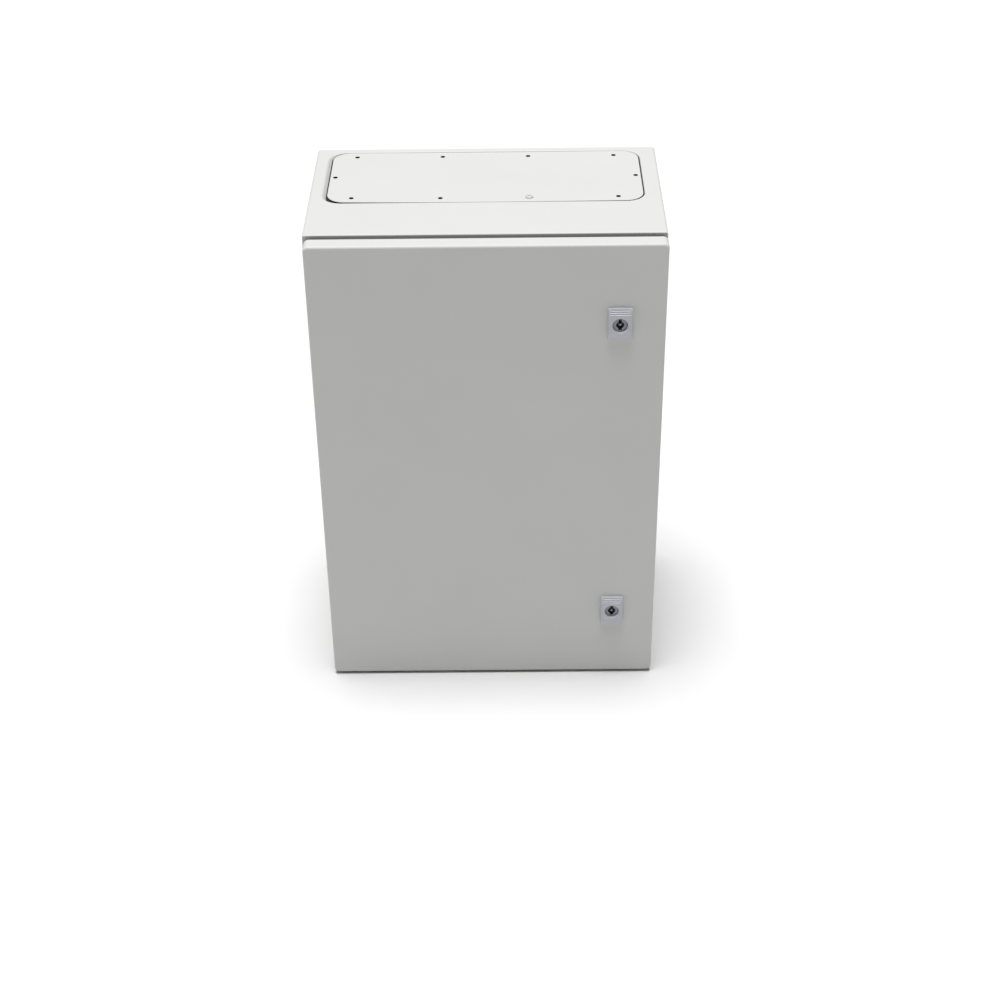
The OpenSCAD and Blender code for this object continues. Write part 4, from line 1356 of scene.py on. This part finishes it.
@dataclass
class TransferSwitch:
    """The four-pole double-throw switch with its gearbox, motor and hand lever."""

    vent_pitch: float = 5.2 * MM
    vent_rows: int = 5
    vent_size: tuple[float, float, float] = (23.0 * MM, 2.2 * MM, 1.1 * MM)
    pole_pitch: float = 36.0 * MM
    grip_r: float = 8.4 * MM
    grip_ridges: int = 12

    plain: tuple[tuple[str, Finish, float], ...] = (
        ("switch_base", Finish.BLACK, 0.5 * MM), ("switch_cover", Finish.GREY, 0.8 * MM),
        ("cover_window", Finish.WINDOW, 0.3 * MM), ("source_a_terminals", Finish.COPPER, 0.3 * MM),
        ("source_b_terminals", Finish.COPPER, 0.3 * MM), ("load_terminals", Finish.COPPER, 0.3 * MM),
        ("terminal_bolts", Finish.ZINC, 0.3 * MM), ("phase_barriers", Finish.BLACK, 0.3 * MM),
        ("arc_chutes", Finish.PALE, 0.2 * MM), ("rotor_shaft", Finish.PALE, 0.3 * MM),
        ("contact_blades", Finish.COPPER, 0.2 * MM), ("drive_gear", Finish.STEEL, 0.1 * MM),
        ("gearbox_base", Finish.BLACK, 0.5 * MM), ("gearbox_cover", Finish.GREY, 0.8 * MM),
        ("gearmotor", Finish.STEEL, 0.4 * MM), ("motor_bracket", Finish.ZINC, 0.3 * MM),
        ("motor_pinion", Finish.STEEL, 0.1 * MM),
    )

    def vents(self) -> None:
        """Builds the louvres above and below the window, one group to a pole."""
        low, high = corners("switch_cover")
        window_low, window_high = corners("cover_window")
        middle, mould = (low + high) / 2, Mould()
        width, height, stand = self.vent_size
        outline = rounded_loop(width, height, height * 0.49, 4)
        for pole in (-1.5, -0.5, 0.5, 1.5):
            for row in range(self.vent_rows):
                step = 7 * MM + row * self.vent_pitch
                for z in (window_low.z - step, window_high.z + step):
                    lift = upright(low.y + 0.2 * MM, z, middle.x + pole * self.pole_pitch)
                    mould.solid(outline, stand + 0.2 * MM, lift, 0.35 * MM)
        mould.cast("switch_cover_louvres", Finish.GREY, "cabinet", "grey_plastic")

    def window_frame(self) -> None:
        """Builds the raised frame that holds the window."""
        low, high = corners("cover_window")
        middle, size = (low + high) / 2, high - low
        rim, mould = 3.0 * MM, Mould()
        mould.plate(rounded_loop(size.x + rim, size.z + rim, 3 * MM),
                    [rounded_loop(size.x - 1.5 * rim, size.z - 1.5 * rim, 2 * MM)],
                    1.2 * MM, upright(low.y, middle.z, middle.x), 0.35 * MM)
        mould.cast("switch_window_frame", Finish.BLACK, "cabinet", "black_plastic")

    def screws(self) -> None:
        """Builds the cover screws with their cross recesses."""
        low, high = corners("cover_screws")
        cover = corners("switch_cover")[1].x
        mould, radius = Mould(), 3.2 * MM
        columns = (low.x + radius, cover - 9 * MM, cover + 9 * MM, high.x - radius)
        face = corners("switch_cover")[0].y
        for x in columns:
            for z in (low.z + radius, high.z - radius):
                mould.turn([(0, -9 * MM), (1.45 * MM, -9 * MM), (1.45 * MM, 0)], upright(face, z, x), 16)
                mould.screw(upright(face, z, x), radius, 2.3 * MM)
        mould.cast("cover_screw_heads", Finish.ZINC, "cabinet", "zinc_plated", ["cover_screws"])

    def lever(self) -> None:
        """Builds the hand lever with its ridged grip."""
        low, high = corners("lever_handle")
        shaft, grip_start = centre_of("rotor_shaft"), low.y + 40 * MM
        middle, mould = (low.x + high.x) / 2, Mould()
        hub = Matrix.Translation((middle, shaft.y, shaft.z)) @ Matrix.Rotation(math.pi / 2, 4, "Y")
        bore, lip, rings = 6.05 * MM, 11.8 * MM, []
        for radius, x in ((bore, -8), (lip, -8), (13 * MM, -7), (13 * MM, 7), (lip, 8), (bore, 8)):
            rings.append(mould.ring(hub @ Vector((*p, x * MM)) for p in circle_loop(0, 0, radius, 36)))
        mould.loft([*rings, rings[0]])
        arm = rounded_loop(8 * MM, 10 * MM, 1.4 * MM, 4)
        mould.solid(arm, shaft.y - 8 * MM - grip_start, upright(shaft.y - 10 * MM, shaft.z, middle), 0.4 * MM)
        profile = [(0.55, 0.0), (0.85, 0.6), (1.0, 1.8), (1.0, 5.0), (0.93, 8.0), (0.93, 30.0),
                   (1.0, 34.0), (1.0, 37.6), (0.9, 39.2), (0.6, 40.0)]
        rings, count = [], self.grip_ridges * 4
        for share, step in profile:
            points = []
            for i in range(count):
                ridge = 0.3 * MM if 7 < step < 35 and i % 4 in (1, 2) else 0.0
                radius, turn = self.grip_r * share + ridge, math.tau * i / count
                points.append((middle + radius * math.cos(turn), grip_start - step * MM,
                               shaft.z + radius * math.sin(turn)))
            rings.append(mould.ring(points))
        mould.loft(rings)
        mould.lid(rings[0])
        mould.lid(rings[-1])
        mould.cast("hand_lever", Finish.RED, "transfer_rotor", "red_plastic", ["lever_handle"])

    def build(self) -> None:
        """Builds the cover's details and the lever, and dresses the rest."""
        for node, finish, rounding in self.plain:
            dress(node, finish, rounding)
        self.vents()
        self.window_frame()
        self.screws()
        self.lever()


@dataclass
class LinkBar:
    """Bar with clamping screws on two insulating feet."""

    node: str
    feet: Finish
    slot: str
    bar_depth: float = 8.0 * MM
    bar_height: float = 12.0 * MM
    foot: tuple[float, float, float] = (8.0 * MM, 14.0 * MM, 16.0 * MM)
    inset: float = 2.0 * MM
    screw_start: float = 17.0 * MM
    screw_pitch: float = 10.0 * MM
    screws: int = 8
    skipped: tuple[int, ...] = ()

    def build(self) -> None:
        """Builds the bar, its screws and its feet."""
        low, high = corners(self.node)
        middle, length = (low + high) / 2, high.x - low.x
        mould = Mould()
        mould.solid(rounded_loop(length, self.bar_height, 1.2 * MM, 4), self.bar_depth,
                    upright(low.y + self.bar_depth, middle.z, middle.x), 0.4 * MM)
        mould.cast(f"{self.node}_metal", Finish.BRASS, "cabinet", "copper", [self.node])
        mould = Mould()
        for i in range(self.screws):
            if i not in self.skipped:
                x = low.x + self.screw_start + i * self.screw_pitch
                mould.screw(upright(low.y + 0.1 * MM, middle.z, x), 3.4 * MM, 2.4 * MM)
        mould.cast(f"{self.node}_screws", Finish.ZINC, "cabinet", "zinc_plated")
        mould, (width, height, depth) = Mould(), self.foot
        for x in (low.x + self.inset + width / 2, high.x - self.inset - width / 2):
            mould.solid(rounded_loop(width, height, 1.2 * MM, 4), depth,
                        upright(low.y + self.bar_depth + depth, middle.z, x), 0.5 * MM)
        mould.cast(f"{self.node}_feet", self.feet, "cabinet", self.slot, [self.node])


@dataclass
class ControlRow:
    """The rail-mounted breakers, controller and terminal blocks, with the ducts round them."""

    breaker_w: float = 36.0 * MM
    terminal_side: float = 9.0 * MM
    terminal_reach: float = 33.0 * MM
    block_start: float = 4.0 * MM
    block_pitch: float = 8.2 * MM
    blocks: int = 7
    bezel: float = 2.2 * MM
    lamp_r: float = 1.7 * MM

    plain: tuple[tuple[str, Finish, float], ...] = (
        ("din_rail", Finish.GALVANISED, 0.15 * MM), ("end_stops", Finish.GREY, 0.5 * MM),
        ("breaker_bodies", Finish.PALE, 0.5 * MM), ("breaker_toggle_left", Finish.BLACK, 0.5 * MM),
        ("breaker_toggle_right", Finish.BLACK, 0.5 * MM), ("controller_case", Finish.BLACK, 0.7 * MM),
        ("controller_display", Finish.DISPLAY, 0.2 * MM), ("button_auto", Finish.GREEN, 0.7 * MM),
        ("button_manual", Finish.AMBER, 0.7 * MM), ("button_test", Finish.BLUE, 0.7 * MM),
        ("terminal_blocks", Finish.GREY, 0.3 * MM), ("wiring_ducts", Finish.DUCT, 0.2 * MM),
        ("duct_covers", Finish.DUCT, 0.5 * MM),
    )

    def screws(self) -> None:
        """Builds the clamping screws of the breakers, terminal blocks and end stops."""
        low, high = corners("breaker_bodies")
        middle, mould = (low.z + high.z) / 2, Mould()
        for x in (low.x + self.breaker_w / 2, high.x - self.breaker_w / 2):
            for side in (-self.terminal_side, self.terminal_side):
                for z in (middle - self.terminal_reach, middle + self.terminal_reach):
                    mould.screw(upright(low.y + 25 * MM, z, x + side), 2.7 * MM, 2.2 * MM)
        low, high = corners("terminal_blocks")
        for i in range(self.blocks):
            x = low.x + self.block_start + i * self.block_pitch
            mould.screw(upright(low.y + 10 * MM, (low.z + high.z) / 2, x), 2.05 * MM, 1.8 * MM, 16)
        mould.cast("clamping_screws", Finish.ZINC, "cabinet", "zinc_plated")

    def markers(self) -> None:
        """Builds the blank marker strips on the breakers and terminal blocks."""
        low, high = corners("breaker_bodies")
        middle, mould = (low.z + high.z) / 2, Mould()
        for x in (low.x + self.breaker_w / 2, high.x - self.breaker_w / 2):
            mould.solid(rounded_loop(28 * MM, 5 * MM, 0.8 * MM, 3), 0.7 * MM,
                        upright(low.y + 0.1 * MM, middle + 17.5 * MM, x), 0.2 * MM)
        low, high = corners("terminal_blocks")
        for i in range(self.blocks):
            x = low.x + self.block_start + i * self.block_pitch
            mould.solid(rounded_loop(6 * MM, 4 * MM, 0.6 * MM, 3), 0.6 * MM,
                        upright(low.y + 0.1 * MM, (low.z + high.z) / 2 + 6 * MM, x), 0.2 * MM)
        mould.cast("marker_strips", Finish.MARKER, "cabinet", "pale_plastic")

    def controller(self) -> None:
        """Builds the controller's bezel, its lamps and the collars round its buttons."""
        low, high = corners("controller_display")
        middle, size = (low + high) / 2, high - low
        mould = Mould()
        mould.plate(rounded_loop(size.x + 2 * self.bezel, size.z + 2 * self.bezel, 2.4 * MM),
                    [rounded_loop(size.x - 1.2 * MM, size.z - 1.2 * MM, 1.2 * MM)],
                    1.3 * MM, upright(low.y + 0.2 * MM, middle.z, middle.x), 0.4 * MM)
        face = corners("controller_case")[0].y
        for node in ("button_auto", "button_manual", "button_test"):
            spot, rings = centre_of(node), []
            for radius, out in ((5.0, -0.2), (6.3, -0.2), (6.3, 0.7), (6.0, 1.0), (5.3, 1.0), (5.0, 0.7)):
                rings.append(mould.ring(hoop(spot, radius * MM, face - out * MM, 32)))
            mould.loft([*rings, rings[0]])
        mould.cast("controller_bezel", Finish.GREY, "cabinet", "grey_plastic")
        for finish, name, slot, columns in (
            (Finish.LED_GREEN, "controller_lamps_green", "button_green", (-20.0, -10.0)),
            (Finish.LED_RED, "controller_lamps_red", "button_amber", (10.0, 20.0)),
        ):
            mould = Mould()
            for x in columns:
                lift = upright(face + 0.3 * MM, high.z + 5.2 * MM, middle.x + x * MM)
                dome = [(self.lamp_r, 0.0)] + [
                    (self.lamp_r * math.cos(a), 0.5 * MM + self.lamp_r * math.sin(a))
                    for a in (math.pi / 2 * i / 6 for i in range(6))]
                mould.turn([*dome, (0, 0.5 * MM + self.lamp_r)], lift, 20)
            mould.cast(name, finish, "cabinet", slot)

    def build(self) -> None:
        """Builds the small parts of the row and dresses the rest."""
        for node, finish, rounding in self.plain:
            dress(node, finish, rounding)
        self.screws()
        self.markers()
        self.controller()
        LinkBar("earth_bar", Finish.GREY, "grey_plastic", skipped=(1,)).build()
        LinkBar("neutral_bar", Finish.BLUE, "button_blue").build()


@dataclass
class Wiring:
    """Control wires in their duct slots, earth wires with their lugs, and the door's earth strap."""

    wire_r: float = 1.3 * MM
    earth_r: float = 2.0 * MM
    strap_r: float = 2.5 * MM
    slot_pitch: float = 10.0 * MM
    rise_gap: float = 4.0 * MM
    duct_end: float = 30.0 * MM
    duct_top: float = 232.0 * MM
    duct_base: float = 204.0 * MM
    stud_y: float = -70.0 * MM
    clear: float = 0.1 * MM
    groups: dict[str, list[list[Vector]]] = field(default_factory=dict)

    def _slot_near(self, x: float) -> float:
        """The middle of the level duct's slot that is nearest to x."""
        first = corners("wiring_ducts")[0].x + self.duct_end + 6 * MM
        return first + self.slot_pitch * math.floor((x - first) / self.slot_pitch + 0.5)

    def _drop(self, group: str, x: float, slot: float, start: float, end: float) -> None:
        """Adds a short wire from a device to a duct slot.

        Args:
            group: the wires that it belongs to.
            x: the device's terminal.
            slot: the duct slot.
            start: the terminal's height.
            end: the height of the duct's near face.
        """
        way, y = math.copysign(MM, end - start), corners("wiring_ducts")[0].y
        route = eased([(x, y + 10 * MM, start), (x, y + 10 * MM, start + 3 * way),
                       (slot, y + 12 * MM, end - 3 * way), (slot, y + 12 * MM, end + 8 * way)])
        self.groups.setdefault(group, []).append(route)

    def _sense(self, group: str, spot: Vector, rank: int) -> None:
        """Adds a sensing wire from the top of a source's terminal to the side duct.

        Args:
            group: the wires that it belongs to.
            spot: the terminal's top.
            rank: the wire's place in its bundle.
        """
        low, high = corners("wiring_ducts")
        height = high.z + self.rise_gap * (1 + rank)
        end, y = low.x + self.duct_end - self.rise_gap * (rank + 1), low.y + 14 * MM
        route = eased([
            tuple(spot), (spot.x, spot.y, spot.z + 8 * MM), (spot.x - 4 * MM, spot.y + 4 * MM, height),
            (spot.x - 14 * MM, spot.y + 4 * MM, height), (end + 14 * MM, y, height), (end, y, height),
            (end, y, high.z - 15 * MM)], 2)
        self.groups.setdefault(group, []).append(route)

    def control(self) -> None:
        """Lays every control wire in the colour of its circuit."""
        low, high = corners("breaker_bodies")
        for x in (low.x + ControlRow.breaker_w / 2, high.x - ControlRow.breaker_w / 2):
            for side, group in ((-ControlRow.terminal_side, "brown"), (ControlRow.terminal_side, "blue")):
                self._drop(group, x + side, self._slot_near(x + side), high.z + self.clear, self.duct_base)
        low, high = corners("controller_case")
        middle = (low.x + high.x) / 2
        for i in range(6):
            x = middle - 25 * MM + i * 10 * MM
            group = "grey" if i % 2 else "black"
            self._drop(group, x, self._slot_near(x), high.z + self.clear, self.duct_base)
        low, high = corners("terminal_blocks")
        for i, group in enumerate(("grey", "grey", "black", "brown", "blue", "grey", "black")):
            slot = self._slot_near(low.x) + i * self.slot_pitch
            x = low.x + ControlRow.block_start + i * ControlRow.block_pitch
            self._drop(group, x, slot, high.z + self.clear, self.duct_base)
        low = corners("gearbox_base")[0]
        for i in range(5):
            x = low.x + 15 * MM + i * 10 * MM
            group = "grey" if i % 2 else "brown"
            self._drop(group, x, self._slot_near(x), low.z - self.clear, self.duct_top)
        for nodes, shift, rank in (("source_a_terminals", 0.0, 0), ("source_b_terminals", 6 * MM, 3)):
            low, high = corners(nodes)
            for i in range(3):
                spot = Vector((low.x + 10 * MM + i * TransferSwitch.pole_pitch + shift, (low.y + high.y) / 2,
                               high.z + self.clear))
                self._sense(("brown", "black", "grey")[i], spot, rank + i)
        finishes = {"brown": Finish.WIRE_BROWN, "blue": Finish.WIRE_BLUE, "grey": Finish.WIRE_GREY,
                    "black": Finish.WIRE_BLACK}
        sleeves = Mould()
        for group, routes in self.groups.items():
            mould = Mould()
            for route in routes:
                mould.tube(route, self.wire_r)
                sleeves.tube([route[0], route[0].lerp(route[1], 0.5), route[1]], self.wire_r + 0.35 * MM, 12)
            mould.cast(f"control_wires_{group}", finishes[group], "cabinet", "wire_grey", ["control_wires"])
        sleeves.cast("wire_end_sleeves", Finish.PALE, "cabinet", "pale_plastic")

    def lug(self, mould: Mould, lift: Matrix, tail: float) -> None:
        """Adds a ring lug whose barrel runs along its own -Y.

        Args:
            mould: the mesh to add it to.
            lift: places the ring's middle; the ring lies across its own Z.
            tail: how far the barrel's end is from the ring's middle.
        """
        outline = [(5.6 * MM * math.cos(a), 5.6 * MM * math.sin(a))
                   for a in (math.radians(-60 + 300 * i / 24) for i in range(25))]
        outline += [(-2.6 * MM, -7.5 * MM), (2.6 * MM, -7.5 * MM)]
        mould.plate(outline, [circle_loop(0, 0, 3.1 * MM, 24)], 1.0 * MM, lift)
        start = lift @ Vector((0, -7 * MM, 1.6 * MM))
        end = lift @ Vector((0, -tail, 1.6 * MM))
        mould.tube([start, start.lerp(end, 0.5), end], 2.9 * MM, 20)

    def earths(self) -> None:
        """Lays the two earth wires inside the cabinet."""
        low = corners("earth_bar")[0]
        bar = centre_of("earth_bar").z
        stud = centre_of("door_earth_stud")
        post = corners("body_wrap")[0].x
        plate = corners("mounting_plate")[0]
        mid_z = stud.z - 30 * MM
        first = [(low.x + 8 * MM, low.y - self.clear, bar), (low.x + 8 * MM, plate.y - 40 * MM, bar),
                 (low.x - 20 * MM, plate.y - 50 * MM, bar - 5 * MM),
                 (post + 24 * MM, plate.y - 60 * MM, bar - 35 * MM), (post + 14 * MM, 0.0, 400 * MM),
                 (post + 13 * MM, -40 * MM, 330 * MM), (post + 13 * MM, self.stud_y - 4 * MM, mid_z + 7 * MM)]
        second = [(low.x + 28 * MM, low.y - self.clear, bar), (low.x + 28 * MM, plate.y - 40 * MM, bar),
                  (low.x + 8 * MM, plate.y - 40 * MM, bar + 25 * MM),
                  (low.x - 20 * MM, plate.y - 20 * MM, bar + 35 * MM),
                  (low.x - 24 * MM, plate.y - 12 * MM, bar + 47 * MM)]
        mould, lugs = Mould(), Mould()
        for route in (first, second):
            path = eased(route, 2)
            mould.tube(path, self.earth_r)
            for end, ahead in ((path[0], path[1]), (path[-1], path[-2])):
                lugs.tube([end, end.lerp(ahead, 0.5), end.lerp(ahead, 1.0)], self.earth_r + 0.7 * MM, 16)
        mould.cast("earth_wires_striped", Finish.WIRE_EARTH, "cabinet", "wire_earth", ["earth_wires"])
        lugs.cast("earth_wire_ferrules", Finish.COPPER, "cabinet", "copper")

    def strap(self) -> None:
        """Lays the earth strap from the body's side to the door, with a lug at each end."""
        stud = centre_of("door_earth_stud")
        side = corners("body_wrap")[0].x
        inner, y, z = side + 15.5 * MM, self.stud_y, stud.z - 30 * MM
        door_y = corners("door_earth_stud")[0].y + 12 * MM
        route = eased([
            (inner, y, z - 6 * MM), (inner + 2.5 * MM, y - 2 * MM, z - 40 * MM),
            (inner + 12.5 * MM, y - 12 * MM, z - 70 * MM), (inner + 26.5 * MM, y - 24 * MM, z - 60 * MM),
            (stud.x, door_y + 7.5 * MM, z - 20 * MM), (stud.x, door_y, z + 24 * MM)], 3)
        mould = Mould()
        mould.tube(route, self.strap_r, 12)
        piece = mould.cast("door_earth_strap", Finish.WIRE_EARTH, None, "wire_earth", ["earth_strap"])
        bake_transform(piece)
        across = Matrix(((0, 0, 1, 0), (1, 0, 0, 0), (0, 1, 0, 0), (0, 0, 0, 1)))
        for body, lift in (("cabinet", Matrix.Translation((inner - 1.6 * MM, y, z)) @ across),
                           ("door", upright(door_y + 1.6 * MM, stud.z, stud.x))):
            lug = Mould()
            self.lug(lug, lift, 13 * MM)
            lug.cast(f"strap_lug_{body}", Finish.ZINC, body, "zinc_plated")

    def build(self) -> None:
        """Lays all the wiring."""
        self.control()
        self.earths()
        self.strap()


@dataclass
class Studio:
    """Pale floor, soft lights and the camera."""

    eye: Point3 = (0.0252, -1.9302, 1.5035)
    ahead: Point3 = (-0.0056, 0.8244, -0.566)
    up: Point3 = (0.0087, 0.566, 0.8243)
    lens: float = 66.73
    floor_half: float = 14.0
    floor_drop: float = 0.2 * MM
    sky: float = 0.16
    sun_power: float = 4.14
    sun_spread: float = 0.5
    floor_shade: float = 0.72
    backdrop: float = 1.0
    tilt: tuple[float, float] = (1.0, -2.0)

    def floor(self) -> None:
        """Lays a floor that runs out of sight."""
        mould = Mould()
        loop = rounded_loop(2 * self.floor_half, 2 * self.floor_half, self.floor_half * 0.9, 12)
        mould.lid(mould.ring((x, y, -self.floor_drop) for x, y in loop))
        mesh = bpy.data.meshes.new("studio_floor")
        mould.bm.to_mesh(mesh)
        mould.bm.free()
        plane = bpy.data.objects.new("studio_floor", mesh)
        bpy.context.scene.collection.objects.link(plane)
        book = NodeBook("studio_floor_paper")
        shade = (self.floor_shade,) * 3
        base = book.blend(tuple(c * 0.98 for c in shade), shade, book.noise(0.4))
        book.set(base_color=base, roughness=0.8)
        mesh.materials.append(book.material)

    def overhead(self) -> None:
        """Hangs one very wide soft light straight above."""
        data = bpy.data.lights.new("overhead", "SUN")
        data.energy = self.sun_power
        data.angle = self.sun_spread
        lamp = bpy.data.objects.new("overhead", data)
        lamp.rotation_euler = (math.radians(self.tilt[0]), math.radians(self.tilt[1]), 0.0)
        bpy.context.scene.collection.objects.link(lamp)

    def sky_light(self) -> None:
        """Fills the room with a dim even light, behind a plain white backdrop."""
        world = bpy.data.worlds.new("studio")
        world.use_nodes = True
        tree = world.node_tree
        dim, shown = tree.nodes["Background"], tree.nodes.new("ShaderNodeBackground")
        mix, path = tree.nodes.new("ShaderNodeMixShader"), tree.nodes.new("ShaderNodeLightPath")
        for node, strength in ((dim, self.sky), (shown, self.backdrop)):
            node.inputs["Color"].default_value = (1.0, 1.0, 1.0, 1.0)
            node.inputs["Strength"].default_value = strength
        tree.links.new(path.outputs["Is Camera Ray"], mix.inputs[0])
        tree.links.new(dim.outputs[0], mix.inputs[1])
        tree.links.new(shown.outputs[0], mix.inputs[2])
        tree.links.new(mix.outputs[0], tree.nodes["World Output"].inputs["Surface"])
        bpy.context.scene.world = world

    def camera(self) -> None:
        """Sets up the camera."""
        data = bpy.data.cameras.new("camera")
        data.lens = self.lens
        data.sensor_width = 36.0
        camera = bpy.data.objects.new("camera", data)
        ahead, up = Vector(self.ahead).normalized(), Vector(self.up)
        right = ahead.cross(up).normalized()
        up = right.cross(ahead)
        camera.matrix_world = Matrix(
            [[right[i], up[i], -ahead[i], self.eye[i]] for i in range(3)] + [[0, 0, 0, 1]])
        bpy.context.scene.collection.objects.link(camera)
        bpy.context.scene.camera = camera

    def build(self) -> None:
        """Builds the studio."""
        self.sky_light()
        bpy.context.scene.view_settings.view_transform = "Standard"
        self.floor()
        self.overhead()
        self.camera()


def main() -> None:
    """Builds the cabinet from its sub-assemblies."""
    logging.basicConfig(level=logging.INFO, format="%(message)s")
    Studio().build()
    locks = [
        QuarterTurnLock("lock_upper", "lock_insert_upper", "lock_cam_upper"),
        QuarterTurnLock("lock_lower", "lock_insert_lower", "lock_cam_lower"),
    ]
    body_work = (CabinetBody(), GlandPlateSet(), Door(), *locks)
    for assembly in (*body_work, TransferSwitch(), ControlRow(), Wiring()):
        assembly.build()
    housings = Mould()
    for lock in locks:
        lock.housing(housings)
        lock.barrel(housings)
    housings.cast("lock_housing_pair", Finish.DIE_CAST, "door", "lock_die_cast", ["lock_housings"], 24.0)
    dress("lock_nuts", Finish.ZINC, 0.4 * MM)


if __name__ == "__main__":
    main()
